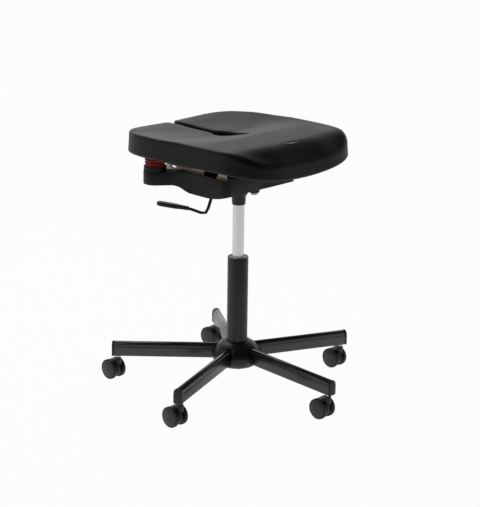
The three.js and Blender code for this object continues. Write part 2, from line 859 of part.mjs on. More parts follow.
function trayGeometry() {
  const outer = common(
    raised(trayPlan(), trayBelly - overrun, trayTop + overrun, 7),
    traySide(0, trayTop, trayPadTop),
  );
  const room = common(
    raised(trayRoomPlan(), trayBelly, trayTop + 2 * overrun, 4),
    traySide(trayFloor, trayTop + overrun, trayTop + overrun),
  );
  const rearOpening = block(
    -trayArmInner, trayArmInner, trayRear - 2 * trayWall, trayRear + overrun,
    trayRearWallTop, trayTop + overrun,
  );
  const ribs = [-1, 1].flatMap((side) => {
    const x0 = side * trayRibPlace - trayRibThickness / 2;
    const reaches = [
      [-trayFront + trayWall / 2, -socketFlangeRadius],
      [socketFlangeRadius, trayBellyRear + socketFlangeRadius],
    ];
    return reaches.map(([y0, y1]) =>
      block(x0, x0 + trayRibThickness, y0, y1, trayBelly + trayFloor / 2, trayRibTop),
    );
  });
  const bosses = [-1, 1].map((side) => {
    const middle = side * (bossX + bossThickness / 2);
    return block(
      middle - bossThickness / 2, middle + bossThickness / 2, shaftY - bossHalfLength,
      shaftY + bossHalfLength, trayBelly + trayFloor / 2, shaftZ + shaftRadius + bossTopWall,
    );
  });
  const lugs = [-1, 1].map((side) => {
    const inner = side * (leverBossWidth / 2 + runGap);
    const outer = side * (leverBossWidth / 2 + runGap + leverLugThickness);
    return block(
      leverPivotX - leverLugHalfLength, leverPivotX + leverLugHalfLength,
      Math.min(inner, outer), Math.max(inner, outer),
      trayBelly + trayFloor / 2, leverAxisZ + leverPinRadius + leverLugTopWall,
    );
  });
  // The wall is thicker behind the channel.
  const backing = block(
    trayChannelEnds[0], trayChannelEnds[1], -trayFront + trayWall / 2,
    -trayFront + trayWall + trayChannelDepth, trayBelly, trayTop,
  );
  const fittings = common(
    join(backing, ...ribs, ...bosses, ...lugs),
    traySide(trayFloor / 2, trayTop + overrun, trayTop + overrun),
  );
  const stopBoss = rod(stopBossRadius, trayBelly, trayBelly + stopBossHeight, tubeSteps)
    .translate(0, stopY, 0);
  const tray = join(cut(outer, room, rearOpening), fittings, stopBoss);
  const bottom = trayBelly - overrun;
  const holes = [
    rod(gasRadius + runGap, bottom, floorTop + overrun, tubeSteps),
    rod(stopBoltRadius * hexCorner + seatGap, bottom, floorTop + overrun).translate(0, stopY, 0),
    rod(stopHeadRadius * hexCorner + runGap, floorTop, floorTop + stopBossHeight, tubeSteps)
      .translate(0, stopY, 0),
    trayChannelGeometry(),
    rod(shaftRadius + seatGap, -trayInside, trayInside)
      .rotateY(Math.PI / 2)
      .translate(0, shaftY, shaftZ),
    rod(leverPinRadius + seatGap, -2 * leverBossWidth, 2 * leverBossWidth)
      .rotateX(Math.PI / 2)
      .translate(leverPivotX, 0, leverAxisZ),
  ];
  for (const side of [-1, 1]) {
    holes.push(
      rod(springStudRadius + seatGap, bottom, trayPadTop + overrun)
        .translate(side * springX, springY, 0),
    );
  }
  return cut(tray, ...holes, leverSlotGeometry());
}

function addMechanism() {
  piece("tilt_tray", trayGeometry(), finishes.casting);
  const bore = gasRadius + seatGap;
  piece(
    "column_socket",
    turned(
      [
        [bore, socketBottom],
        [socketRadius, socketBottom],
        [socketTopRadius, gasSocketTop - socketFlangeThickness - socketBead],
        [socketTopRadius + socketBead, gasSocketTop - socketFlangeThickness],
        [socketFlangeRadius, gasSocketTop - socketFlangeThickness],
        [socketFlangeRadius, gasSocketTop],
        [bore, gasSocketTop],
      ],
      tubeSteps,
      true,
    ),
    finishes.blackSteel,
  );
  const shaftEnd = trayInside - seatGap;
  piece(
    "pivot_shaft",
    rod(shaftRadius, -shaftEnd, shaftEnd).rotateY(Math.PI / 2).translate(0, shaftY, shaftZ),
    finishes.zinc,
  );
  addSprings();
  addStopBolt();
  addLever();
}

function addSprings() {
  const cupBottom = trayPadTop + seatGap;
  const cupTop = cupBottom + cupHeight;
  const studHead = trayPadUnderside - seatGap - springStudHeadHeight;
  const cupProfile = [
    [0, studHead],
    [springStudHead, studHead],
    [springStudHead, studHead + springStudHeadHeight],
    [springStudRadius, studHead + springStudHeadHeight],
    [springStudRadius, cupBottom],
    [cupRadius, cupBottom],
    [cupRadius, cupTop],
    [cupRadius - cupWall, cupTop],
    [cupRadius - cupWall, cupBottom + cupFloor],
    [springStudRadius, cupBottom + cupFloor],
    [springStudRadius, cupBottom + springStudHeight],
    [0, cupBottom + springStudHeight],
  ];
  const pitch = (springTop - springBottom) / springRibs;
  const springProfile = [[springBore, springBottom], [springRootRadius, springBottom]];
  for (let i = 0; i < springRibs; i++) {
    const low = springBottom + i * pitch;
    springProfile.push([springRadius, low + pitch * 0.3], [springRadius, low + pitch * 0.7]);
    springProfile.push([springRootRadius, low + pitch]);
  }
  springProfile.push([springBore, springTop]);
  for (const [name, side] of [["right", -1], ["left", 1]]) {
    const place = (geometry) => geometry.translate(side * springX, springY, 0);
    piece(`spring_cup_${name}`, place(turned(cupProfile, springSteps)), finishes.zinc);
    piece(`seat_spring_${name}`, place(turned(springProfile, springSteps, true)), finishes.rubber);
  }
}

// The stop bolt, with its nut run down on the tray's floor.
function addStopBolt() {
  const head = trayBelly - seatGap;
  const nut = floorTop + seatGap;
  const profile = [
    [0, head - stopHeadHeight],
    [stopHeadRadius, head - stopHeadHeight],
    [stopHeadRadius, head],
    [stopBoltRadius, head],
    [stopBoltRadius, nut],
    [stopHeadRadius, nut],
    [stopHeadRadius, nut + stopNutHeight],
    [stopBoltRadius, nut + stopNutHeight],
    [stopBoltRadius, stopBoltTop],
    [0, stopBoltTop],
  ];
  piece("stop_bolt", turned(profile, 6).translate(0, stopY, 0), finishes.zinc);
}

// The lever's path: along X over the valve button, down through the tray and out to the grip.
function leverPath(stops) {
  const path = new THREE.CurvePath();
  let start = stops[0];
  for (let i = 1; i < stops.length; i++) {
    const end = stops[i];
    if (i === stops.length - 1) {
      path.add(new THREE.LineCurve3(start, end));
      break;
    }
    const before = end.clone().lerp(start, leverBendRadius / end.distanceTo(start));
    const after = end.clone().lerp(stops[i + 1], leverBendRadius / end.distanceTo(stops[i + 1]));
    path.add(new THREE.LineCurve3(start, before));
    path.add(new THREE.QuadraticBezierCurve3(before, end, after));
    start = after;
  }
  return path;
}

const bendPoint = new THREE.Vector3(...leverBend);
const kneePoint = new THREE.Vector3(...leverKnee);
const tipPoint = new THREE.Vector3(...leverTip);
const gripDirection = tipPoint.clone().sub(kneePoint).normalize();

function leverRodGeometry(radius, extra) {
  const section = new THREE.Shape();
  section.absarc(0, 0, radius, 0, 2 * Math.PI);
  const end = tipPoint.clone().addScaledVector(gripDirection, gripRodDepth - gripLength + extra);
  const path = leverPath([
    new THREE.Vector3(leverInnerEnd, 0, leverAxisZ),
    new THREE.Vector3(leverShoulderX, 0, leverAxisZ),
    bendPoint,
    kneePoint,
    end,
  ]);
  return new THREE.ExtrudeGeometry(section, {
    steps: 20, curveSegments: 4, bevelEnabled: false, extrudePath: path,
  });
}

function gripGeometry() {
  const shape = new THREE.Shape();
  const half = gripWidth / 2 - gripEdge;
  const neck = gripNeckWidth / 2 - gripEdge;
  shape.moveTo(gripEdge, -neck);
  shape.bezierCurveTo(gripLength * 0.3, -neck, gripLength * 0.3, -half, gripLength * 0.5, -half);
  shape.lineTo(gripLength - half - gripEdge, -half);
  shape.absarc(gripLength - half - gripEdge, 0, half, -Math.PI / 2, Math.PI / 2);
  shape.lineTo(gripLength * 0.5, half);
  shape.bezierCurveTo(gripLength * 0.3, half, gripLength * 0.3, neck, gripEdge, neck);
  const flat = gripThickness - 2 * gripEdge;
  const blade = new THREE.ExtrudeGeometry(shape, {
    depth: flat, bevelThickness: gripEdge, bevelSize: gripEdge, bevelSegments: 2, curveSegments: 5,
  }).translate(0, 0, -flat / 2);
  const side = new THREE.Vector3(-gripDirection.y, gripDirection.x, 0).normalize();
  const up = new THREE.Vector3().crossVectors(gripDirection, side);
  const start = tipPoint.clone().addScaledVector(gripDirection, -gripLength);
  const frame = new THREE.Matrix4().makeBasis(gripDirection, side, up).setPosition(start);
  return cut(blade.applyMatrix4(frame), leverRodGeometry(leverRadius + seatGap, seatGap));
}

function addLever() {
  const along = (geometry) =>
    geometry.rotateX(Math.PI / 2).translate(leverPivotX, 0, leverAxisZ);
  const lugOuter = leverBossWidth / 2 + runGap + leverLugThickness;
  const boss = along(rod(leverBossRadius, -leverBossWidth / 2, leverBossWidth / 2));
  const pinHole = along(rod(leverPinRadius + seatGap, -2 * lugOuter, 2 * lugOuter));
  piece("lever_rod", cut(join(leverRodGeometry(leverRadius, 0), boss), pinHole), finishes.blackSteel);
  piece("lever_grip", gripGeometry(), finishes.plastic);
  piece("lever_pin", along(rod(leverPinRadius, -lugOuter - seatGap, lugOuter + seatGap)), finishes.zinc);
}

// Seat carrier, pivot bushes and shaft rings
function carrierPlan() {
  const shape = new THREE.Shape();
  const half = carrierHalfWidth;
  const tab = carrierTabRadius;
  const corner = carrierCornerRadius;
  const arc = (x, y, radius, from, to) =>
    shape.absarc(x, y, radius, degrees(from), degrees(to));
  arc(half - corner, -carrierFront + corner, corner, -90, 0);
  shape.lineTo(half, springY - 2 * tab);
  arc(springX, springY, tab, ...tabArc);
  shape.lineTo(springX - 2 * tab, carrierRear);
  shape.lineTo(-springX + 2 * tab, carrierRear);
  arc(-springX, springY, tab, 180 - tabArc[1], 180 - tabArc[0]);
  shape.lineTo(-half, springY - 2 * tab);
  arc(-half + corner, -carrierFront + corner, corner, 180, 270);
  return shape;
}

// One side flange, in the plane of y and z: the long rear flange and the ear round the shaft.
function flangeShapes() {
  const plateMiddle = carrierTop - carrierThickness / 2;
  const rear = new THREE.Shape();
  rear.moveTo(carrierFlangeFront, plateMiddle);
  rear.lineTo(carrierFlangeFront + carrierFlangeSlope, carrierFlangeBottom);
  rear.lineTo(carrierFlangeRear, carrierFlangeBottom);
  rear.lineTo(carrierFlangeRear, plateMiddle);
  const slot = new THREE.Path();
  const slotEnd = carrierFlangeRear - carrierSlotInset;
  const slotZ = carrierFlangeBottom + carrierSlotRise;
  const r = carrierSlotHeight / 2;
  slot.absarc(slotEnd, slotZ, r, -Math.PI / 2, Math.PI / 2);
  slot.absarc(slotEnd - carrierSlotLength, slotZ, r, Math.PI / 2, 1.5 * Math.PI);
  rear.holes.push(slot);
  const ear = new THREE.Shape();
  ear.moveTo(earTop[0], plateMiddle);
  ear.absarc(shaftY, shaftZ, earRadius, Math.PI, 1.8 * Math.PI);
  ear.lineTo(...earShoulder);
  ear.lineTo(...earWaist);
  ear.lineTo(earTop[1], plateMiddle);
  return [rear, ear];
}

function carrierGeometry() {
  const plate = raised(carrierPlan(), carrierTop - carrierThickness, carrierTop, 5);
  const flanges = [-1, 1].flatMap((side) =>
    flangeShapes().map((shape) => {
      const x0 = side > 0 ? carrierFlangeX : -carrierFlangeX - carrierThickness;
      return raised(shape, x0, x0 + carrierThickness, 5).rotateY(Math.PI / 2).rotateX(Math.PI / 2);
    }),
  );
  const reach = 2 * carrierFlangeX;
  const bushHole = rod(shaftRadius + 2 * seatGap + pivotBushWall, -reach, reach)
    .rotateY(Math.PI / 2)
    .translate(0, shaftY, shaftZ);
  return cut(join(plate, ...flanges), bushHole);
}

function addCarrier() {
  piece("seat_carrier", carrierGeometry(), finishes.zinc);
  const inner = shaftRadius + seatGap;
  const outer = inner + pivotBushWall;
  const profile = [
    [inner, carrierFlangeX - seatGap - pivotBushFlange],
    [outer + pivotBushFlange, carrierFlangeX - seatGap - pivotBushFlange],
    [outer + pivotBushFlange, carrierFlangeX - seatGap],
    [outer, carrierFlangeX - seatGap],
    [outer, carrierFlangeX + carrierThickness],
    [inner, carrierFlangeX + carrierThickness],
  ];
  for (const [name, side] of [["right", -1], ["left", 1]]) {
    const bush = turned(profile, smallSteps, true).rotateY((side * Math.PI) / 2);
    piece(`pivot_bush_${name}`, bush.translate(0, shaftY, shaftZ), finishes.bush);
  }
}

// Seat

// Point of a rounded outline at the given turn: x to the sitter's left, y to the rear.
function rounded(turn, half, front, rear, frontPower, rearPower) {
  const [c, s] = [Math.cos(turn), Math.sin(turn)];
  const power = 2 / (s < 0 ? frontPower : rearPower);
  const reach = s < 0 ? front : rear;
  return [
    half * Math.sign(c) * Math.abs(c) ** power,
    reach * Math.sign(s) * Math.abs(s) ** power,
  ];
}

// Turns are spread so that the points lie evenly round the outline.
function seatTurns(steps) {
  const fine = 40 * steps;
  const places = [];
  for (let i = 0; i <= fine; i++) {
    const turn = (2 * Math.PI * i) / fine;
    places.push([turn, ...rounded(turn, seatHalfWidth, seatFront, seatRear,
      seatFrontPower_share, seatRearPower_share)]);
  }
  const lengths = [0];
  for (let i = 1; i <= fine; i++) {
    const step = Math.hypot(places[i][1] - places[i - 1][1], places[i][2] - places[i - 1][2]);
    lengths.push(lengths[i - 1] + step);
  }
  const turns = [];
  for (let i = 0, at = 0; i < steps; i++) {
    while (lengths[at] < (lengths[fine] * i) / steps) at++;
    turns.push(places[at][0]);
  }
  return turns;
}

const smoothStep = THREE.MathUtils.smoothstep;

// Height of the seat's upper surface.
function seatHeight(x, y) {
  const across = 1 - Math.min(Math.abs(x) / seatEdgeHalfWidth, 1) ** 2;
  const ends = y < 0
    ? seatFrontFall * (-y / seatEdgeFront) ** 3
    : seatRearFall * (y / seatEdgeRear) ** 3;
  const easing = 1 - hollowEase_share * smoothStep(y, hollowEase, seatEdgeRear);
  const hollow = seatHollow * smoothStep(y, -hollowStart, hollowFull) * easing;
  const roll = seatRoll * smoothStep(-y, seatRollStart, seatEdgeFront);
  return seatTop - ends - (hollow + roll) * across;
}

// Height of the lower rim, at a point of its outline.
function rimHeight(x, y) {
  if (y >= 0) return seatRim - rimRearFall * (y / seatRear) ** 2.5;
  const hang = rimFrontHang * (1 - Math.min(Math.abs(x) / seatHalfWidth, 1) ** 2);
  return seatRim + rimFrontRise * smoothStep(-y, 0, rimFrontReach) - hang;
}

// Radius of the upper edge: crisp at the sides and the rear, rolled over at the front.
const edgeRadius = (y) =>
  seatEdgeRadius + (seatFrontRadius - seatEdgeRadius) * smoothStep(-y, rollStart, rollFull);

function seatBody() {
  const turns = seatTurns(seatSteps);
  const rings = [];
  const edges = turns.map((turn) => rounded(turn, seatEdgeHalfWidth, seatEdgeFront, seatEdgeRear,
    seatEdgeFrontPower_share, seatEdgeRearPower_share));
  const rims = turns.map((turn) => rounded(turn, seatHalfWidth, seatFront, seatRear,
    seatFrontPower_share, seatRearPower_share));
  const inward = ([x, y], by) => {
    const length = Math.hypot(x, y);
    return [x * (1 - by / length), y * (1 - by / length)];
  };
  for (const share of seatRingShares) {
    rings.push(edges.map((edge) => {
      const [x, y] = inward(edge, edgeRadius(edge[1]));
      return [x * share, y * share, seatHeight(x * share, y * share)];
    }));
  }
  for (let i = 1; i <= edgeSteps; i++) {
    const turn = (Math.PI / 2) * (i / edgeSteps);
    rings.push(edges.map((edge) => {
      const radius = edgeRadius(edge[1]);
      const [x, y] = inward(edge, radius * (1 - Math.sin(turn)));
      const [tx, ty] = inward(edge, radius);
      return [x, y, seatHeight(tx, ty) - radius * (1 - Math.cos(turn))];
    }));
  }
  rings.push(rims.map(([x, y]) => [x, y, rimHeight(x, y) + seatRimRadius]));
  rings.push(rims.map((rim) => [...inward(rim, seatRimRadius), rimHeight(...rim)]));
  const positions = [[0, 0, seatHeight(0, 0)]];
  rings.forEach((loop) => positions.push(...loop));
  positions.push([0, 0, seatRim]);
  const last = positions.length - 1;
  const faces = [];
  const at = (loop, i) => 1 + loop * seatSteps + (i % seatSteps);
  for (let i = 0; i < seatSteps; i++) {
    faces.push([0, at(0, i), at(0, i + 1)]);
    for (let loop = 0; loop < rings.length - 1; loop++) {
      faces.push([at(loop, i), at(loop + 1, i), at(loop + 1, i + 1)]);
      faces.push([at(loop, i), at(loop + 1, i + 1), at(loop, i + 1)]);
    }
    faces.push([last, at(rings.length - 1, i + 1), at(rings.length - 1, i)]);
  }
  const geometry = new THREE.BufferGeometry();
  geometry.setAttribute("position", new THREE.Float32BufferAttribute(positions.flat(), 3));
  geometry.setIndex(faces.flat());
  return geometry;
}

// Outline of the slit and of the drop at its inner end, grown by the given amount.
function slitShape(grow) {
  const half = slitHalfWidth + grow;
  const drop = dropHalfWidth + grow;
  const tip = dropTip - grow;
  const corner = seatRear - slitMouthRadius;
  const shape = new THREE.Shape();
  shape.moveTo(half + slitMouthRadius, seatRear + overrun);
  shape.quadraticCurveTo(half, seatRear, half, corner);
  shape.lineTo(half, slitEnd);
  shape.bezierCurveTo(half, slitEnd - drop, drop, dropWidest + drop, drop, dropWidest);
  shape.bezierCurveTo(drop, tip + drop, drop / 2, tip, 0, tip);
  shape.bezierCurveTo(-drop / 2, tip, -drop, tip + drop, -drop, dropWidest);
  shape.bezierCurveTo(-drop, dropWidest + drop, -half, slitEnd - drop, -half, slitEnd);
  shape.lineTo(-half, corner);
  shape.quadraticCurveTo(-half, seatRear, -half - slitMouthRadius, seatRear + overrun);
  return shape;
}

const boardOutline = (inset) => outlineOf(
  seatTurns(seatSteps / 2).map((turn) => rounded(
    turn, seatHalfWidth - inset, seatFront - inset, seatRear - inset,
    seatFrontPower_share, seatRearPower_share,
  )),
);

function badgeGeometry() {
  const shape = new THREE.Shape();
  shape.absellipse(0, 0, badgeHalfWidth, badgeHalfHeight, 0, 2 * Math.PI);
  const low = -badgeProud * 3;
  const radius = edgeRadius(-seatEdgeFront);
  const surface = seatHeight(0, -badgeY);
  const slope = Math.atan2(seatHeight(0, -badgeY + radius / 4) - surface, radius / 4);
  return raised(shape, low, badgeProud, 6).rotateX(slope).translate(0, -badgeY, surface);
}

function addSeat() {
  const boardTop = boardBottom + boardThickness;
  const recess = raised(boardOutline(foamWall), recessBottom, boardTop + seatGap);
  const slit = raised(slitShape(0), recessBottom, seatTop + overrun, 5);
  piece("seat_cushion", join(cut(seatBody(), recess, slit), badgeGeometry()), finishes.foam);
  const board = raised(boardOutline(foamWall + runGap), boardBottom, boardTop);
  const boardSlit = raised(slitShape(2 * runGap), boardBottom - overrun, boardTop + overrun, 4);
  piece("seat_board", cut(board, boardSlit), finishes.board);
}

addBase();
addColumn();
addMechanism();
addCarrier();
addSeat();

// The castors trail to the rear, so the footprint's middle lies in front of the column.
const rearReach = stemCircleRadius * Math.sin(armAngle(2)) + castorTrail + wheelRadius;
stool.position.y = (armReach - rearReach) / 2;

const group = new THREE.Group();
group.add(stool);
export default group;
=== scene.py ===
"""Looks of a wheeled saddle stool: camera, light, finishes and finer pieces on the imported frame."""

import json
import math

import bpy
from mathutils import Matrix, Vector

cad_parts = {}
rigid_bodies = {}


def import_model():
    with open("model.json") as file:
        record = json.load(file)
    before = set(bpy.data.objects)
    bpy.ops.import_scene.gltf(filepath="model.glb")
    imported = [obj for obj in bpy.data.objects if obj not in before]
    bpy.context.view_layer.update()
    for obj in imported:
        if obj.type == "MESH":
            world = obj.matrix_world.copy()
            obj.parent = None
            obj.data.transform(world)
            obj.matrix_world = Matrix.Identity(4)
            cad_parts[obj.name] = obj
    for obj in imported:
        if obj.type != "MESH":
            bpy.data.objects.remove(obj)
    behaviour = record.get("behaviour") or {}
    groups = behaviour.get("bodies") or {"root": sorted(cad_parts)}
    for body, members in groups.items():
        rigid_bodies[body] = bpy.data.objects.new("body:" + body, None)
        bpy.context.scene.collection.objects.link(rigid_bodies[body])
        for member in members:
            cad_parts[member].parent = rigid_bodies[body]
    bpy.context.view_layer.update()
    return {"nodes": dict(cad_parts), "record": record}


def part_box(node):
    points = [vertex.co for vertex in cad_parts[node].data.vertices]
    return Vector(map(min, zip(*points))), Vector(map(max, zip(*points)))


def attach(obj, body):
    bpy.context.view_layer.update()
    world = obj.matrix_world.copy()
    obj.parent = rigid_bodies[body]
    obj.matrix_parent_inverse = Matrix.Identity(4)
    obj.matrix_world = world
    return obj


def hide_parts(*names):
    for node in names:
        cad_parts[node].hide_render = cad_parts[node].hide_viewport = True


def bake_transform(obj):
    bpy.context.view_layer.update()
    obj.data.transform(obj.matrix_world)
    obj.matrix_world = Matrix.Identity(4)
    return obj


MM = 0.001

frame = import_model()
scene = bpy.context.scene
nodes = frame["nodes"]
body_of_node = {
    node: body
    for body, names in frame["record"]["behaviour"]["bodies"].items()
    for node in names
}


def middle(name):
    """Middle of a CAD node's box."""
    low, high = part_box(name)
    return (Vector(low) + Vector(high)) / 2


# Where the lift column's axis meets the floor.
column = middle("column_tube")
column.z = 0


# Camera, at the photograph's place: it looks down a little, from the front right of the sitter.


def place_camera():
    """Sets the camera and returns its directions to the right and back towards itself."""
    distance = 3.8049
    height = 1.4843
    turn = math.radians(-46.3)
    heading = turn - 0.00122
    pitch = 0.2921
    roll = 0.01323
    focal_pixels = 1657.6
    image_height = 507
    back = Vector(
        (math.sin(heading) * math.cos(pitch), -math.cos(heading) * math.cos(pitch), math.sin(pitch))
    )
    level = Vector((math.cos(heading), math.sin(heading), 0))
    rise = back.cross(level)
    right = level * math.cos(roll) + rise * math.sin(roll)
    up = rise * math.cos(roll) - level * math.sin(roll)
    place = column + Vector((math.sin(turn) * distance, -math.cos(turn) * distance, height))
    data = bpy.data.cameras.new("camera")
    data.sensor_fit = "VERTICAL"
    data.sensor_height = 36
    data.lens = focal_pixels * data.sensor_height / image_height
    data.clip_end = 60
    camera = bpy.data.objects.new("camera", data)
    scene.collection.objects.link(camera)
    camera.matrix_world = Matrix(
        (
            (right.x, up.x, back.x, place.x),
            (right.y, up.y, back.y, place.y),
            (right.z, up.z, back.z, place.z),
            (0, 0, 0, 1),
        )
    )
    scene.camera = camera
    return right, back


view_right, view_back = place_camera()


# Materials


def linear(code):
    """A hex colour, as seen on a screen, as the linear colour that the shader takes."""
    values = [int(code[i : i + 2], 16) / 255 for i in (1, 3, 5)]
    return [v / 12.92 if v <= 0.04045 else ((v + 0.055) / 1.055) ** 2.4 for v in values] + [1]


def add(tree, kind, inputs=None, **settings):
    """Adds a node. An input is a value, or the output socket that feeds it."""
    node = tree.nodes.new(kind)
    for name, value in settings.items():
        setattr(node, name, value)
    for name, value in (inputs or {}).items():
        if isinstance(value, bpy.types.NodeSocket):
            tree.links.new(value, node.inputs[name])
        else:
            node.inputs[name].default_value = value
    return node


def finish(name, colour, roughness, metallic=0.0, **sockets):
    """A material with its shader set. Returns it with its tree, shader and Object coordinates."""
    material = bpy.data.materials.new(name)
    material.use_nodes = True
    tree = material.node_tree
    tree.nodes.clear()
    shader = add(tree, "ShaderNodeBsdfPrincipled")
    shader.inputs["Base Color"].default_value = linear(colour)
    shader.inputs["Roughness"].default_value = roughness
    shader.inputs["Metallic"].default_value = metallic
    for socket, value in sockets.items():
        shader.inputs[socket.replace("_", " ")].default_value = value
    add(tree, "ShaderNodeOutputMaterial", {"Surface": shader.outputs[0]})
    place = add(tree, "ShaderNodeTexCoord")
    return material, tree, shader, place.outputs["Object"]


def mottle(tree, shader, where, light, dark, size_mm, low, high):
    """Varies the colour between two tones and the roughness between two values, over patches."""
    lumps = {"Vector": where, "Scale": 1 / (size_mm * MM), "Detail": 4.0}
    patches = add(tree, "ShaderNodeTexNoise", lumps).outputs[0]
    tones = {0: patches, 6: linear(dark), 7: linear(light)}
    tone = add(tree, "ShaderNodeMix", tones, data_type="RGBA")
    tree.links.new(tone.outputs[2], shader.inputs["Base Color"])
    spread = add(tree, "ShaderNodeMapRange", {"Value": patches, "To Min": low, "To Max": high})
    tree.links.new(spread.outputs["Result"], shader.inputs["Roughness"])


def grain(tree, shader, where, size_mm, detail, depth_mm, strength):
    """Fine lumps of the given size and depth, as a mould or a melted powder leaves them."""
    lumps = {"Vector": where, "Scale": 1 / (size_mm * MM), "Detail": detail}
    height = add(tree, "ShaderNodeTexNoise", lumps).outputs[0]
    relief = {"Height": height, "Distance": depth_mm * MM, "Strength": strength}
    bump = add(tree, "ShaderNodeBump", relief)
    tree.links.new(bump.outputs["Normal"], shader.inputs["Normal"])


def moulded_foam():
    # Polyurethane foam with its own moulded skin: dull, a little sheen, and a fine leathery grain.
    # The real grain is about 0.6 mm; it is drawn at 1.6 mm so that it shows.
    material, tree, shader, where = finish(
        "polyurethane_foam_moulded_skin", "#151510", 0.42, Specular_IOR_Level=0.18
    )
    mottle(tree, shader, where, "#171712", "#11110c", 45, 0.37, 0.47)
    cells = add(tree, "ShaderNodeTexVoronoi", {"Vector": where, "Scale": 1 / (1.6 * MM)})
    relief = {"Height": cells.outputs["Distance"], "Distance": 0.12 * MM, "Strength": 0.35}
    bump = add(tree, "ShaderNodeBump", relief)
    tree.links.new(bump.outputs["Normal"], shader.inputs["Normal"])
    return material


def moulded_nylon(name, colour, light, dark, roughness):
    # Glass-filled nylon, moulded in a spark-eroded tool: an even dull face with a fine tooth.
    # The tooth is about 0.1 mm; it is drawn at 0.7 mm so that it shows.
    material, tree, shader, where = finish(name, colour, roughness, Specular_IOR_Level=0.4)
    mottle(tree, shader, where, light, dark, 18, roughness - 0.06, roughness + 0.06)
    grain(tree, shader, where, 0.7, 2.0, 0.05, 0.4)
    return material


def coated_steel(name, colour, light, dark, roughness, peel_mm, gloss):
    # Metal with a baked powder coat: satin, with the slight orange peel of the melted powder.
    material, tree, shader, where = finish(name, colour, roughness, Specular_IOR_Level=gloss)
    mottle(tree, shader, where, light, dark, 60, roughness - 0.05, roughness + 0.05)
    grain(tree, shader, where, peel_mm, 1.0, 0.02, 0.3)
    return material


def plated_steel(name, colour, light, dark, roughness, metallic):
    # Steel plated with zinc or nickel: pale metal, dulled in patches.
    material, tree, shader, where = finish(name, colour, roughness, metallic)
    mottle(tree, shader, where, light, dark, 12, roughness - 0.08, roughness + 0.1)
    return material


def ground_chrome():
    # Hard chrome, ground round the tube and not polished after: bright and a little cloudy, with
    # faint rings of the grinding.
    material, tree, shader, where = finish("hard_chrome_ground", "#f6f5f5", 0.3, 0.6)
    apart = add(tree, "ShaderNodeMapping", {"Vector": where, "Scale": (1.0, 1.0, 40.0)})
    bands = {"Vector": apart.outputs[0], "Scale": 1 / (20 * MM), "Detail": 3.0}
    rings = add(tree, "ShaderNodeTexNoise", bands).outputs[0]
    spread = add(tree, "ShaderNodeMapRange", {"Value": rings, "To Min": 0.24, "To Max": 0.38})
    tree.links.new(spread.outputs["Result"], shader.inputs["Roughness"])
    relief = {"Height": rings, "Distance": 0.01 * MM, "Strength": 0.3}
    bump = add(tree, "ShaderNodeBump", relief)
    tree.links.new(bump.outputs["Normal"], shader.inputs["Normal"])
    return material


def spring_rubber():
    # Red elastomer, moulded: satin, slightly darker where the mould release stayed.
    material, tree, shader, where = finish(
        "moulded_red_elastomer", "#86150b", 0.5, Specular_IOR_Level=0.3
    )
    mottle(tree, shader, where, "#94190e", "#701008", 9, 0.44, 0.58)
    return material


def plywood():
    # Birch plywood, sanded: long pale grain with darker late wood, about 1.5 mm apart. Its sawn
    # edges are sealed black, so the colour goes by how far the face looks up or down.
    material, tree, shader, where = finish("birch_plywood_sanded", "#b98f5e", 0.62)
    apart = add(tree, "ShaderNodeMapping", {"Vector": where, "Scale": (12.0, 0.6, 12.0)})
    bands = {"Vector": apart.outputs[0], "Scale": 1 / (18 * MM), "Detail": 5.0}
    fibres = add(tree, "ShaderNodeTexNoise", bands).outputs[0]
    tone = add(tree, "ShaderNodeValToRGB", {"Fac": fibres})
    tone.color_ramp.elements[0].color = linear("#8a6337")
    tone.color_ramp.elements[1].color = linear("#cfa878")
    geometry = add(tree, "ShaderNodeNewGeometry")
    side = add(tree, "ShaderNodeSeparateXYZ", {0: geometry.outputs["Normal"]})
    flat = add(tree, "ShaderNodeMath", {0: side.outputs["Z"], 1: 2.0}, operation="POWER")
    tones = {0: flat.outputs[0], 6: linear("#141312"), 7: tone.outputs["Color"]}
    sealed = add(tree, "ShaderNodeMix", tones, data_type="RGBA")
    tree.links.new(sealed.outputs[2], shader.inputs["Base Color"])
    relief = {"Height": fibres, "Distance": 0.08 * MM, "Strength": 0.4}
    bump = add(tree, "ShaderNodeBump", relief)
    tree.links.new(bump.outputs["Normal"], shader.inputs["Normal"])
    return material


# For each finish its colour, the lighter and the darker tone that it varies between, its roughness,
# and for a coat the grain in millimetres and the gloss.
FOAM = moulded_foam()
CASTING = coated_steel(
    "powder_coated_aluminium_casting", "#131411", "#161714", "#11120f", 0.5, 2.2, 0.25
)
COLUMN_COAT = coated_steel(
    "powder_coated_steel_tube", "#1c1c1c", "#1f1f1f", "#191919", 0.36, 1.4, 0.5
)
ARM_COAT = coated_steel(
    "powder_coated_drawn_arm", "#1d1e20", "#202123", "#191a1c", 0.24, 1.8, 0.8
)
BLACK_STEEL = coated_steel("black_coated_steel", "#121315", "#151618", "#0f1012", 0.38, 1.2, 0.4)
HUB_PLASTIC = moulded_nylon("moulded_nylon_hub", "#242120", "#282423", "#201e1d", 0.4)
CAP_PLASTIC = moulded_nylon("moulded_nylon_cap", "#1c1c1e", "#1f1f21", "#19191b", 0.44)
CASTOR_PLASTIC = moulded_nylon("moulded_nylon_castor", "#28292b", "#2c2d2f", "#252628", 0.38)
COVER_PLASTIC = moulded_nylon("moulded_nylon_wheel_cover", "#38393c", "#3c3d40", "#333437", 0.36)
TYRE_RUBBER = moulded_nylon("soft_polyurethane_tread", "#1f2021", "#222324", "#1c1d1e", 0.5)
# The cups are coloured darker than the black steel they are made of: painted shade, for the shadow
# under the seat's overhang.
SHADED_CUP_COAT = coated_steel("black_coated_cup_painted_shade", "#0a0a0b", "#0c0c0d", "#080809", 0.45, 1.2, 0.25)
BADGE_SKIN = moulded_nylon("moulded_badge_plate", "#2b2b28", "#2e2e2b", "#272724", 0.4)
GRIP_PLASTIC = moulded_nylon("moulded_nylon_grip", "#141517", "#17181a", "#111214", 0.36)
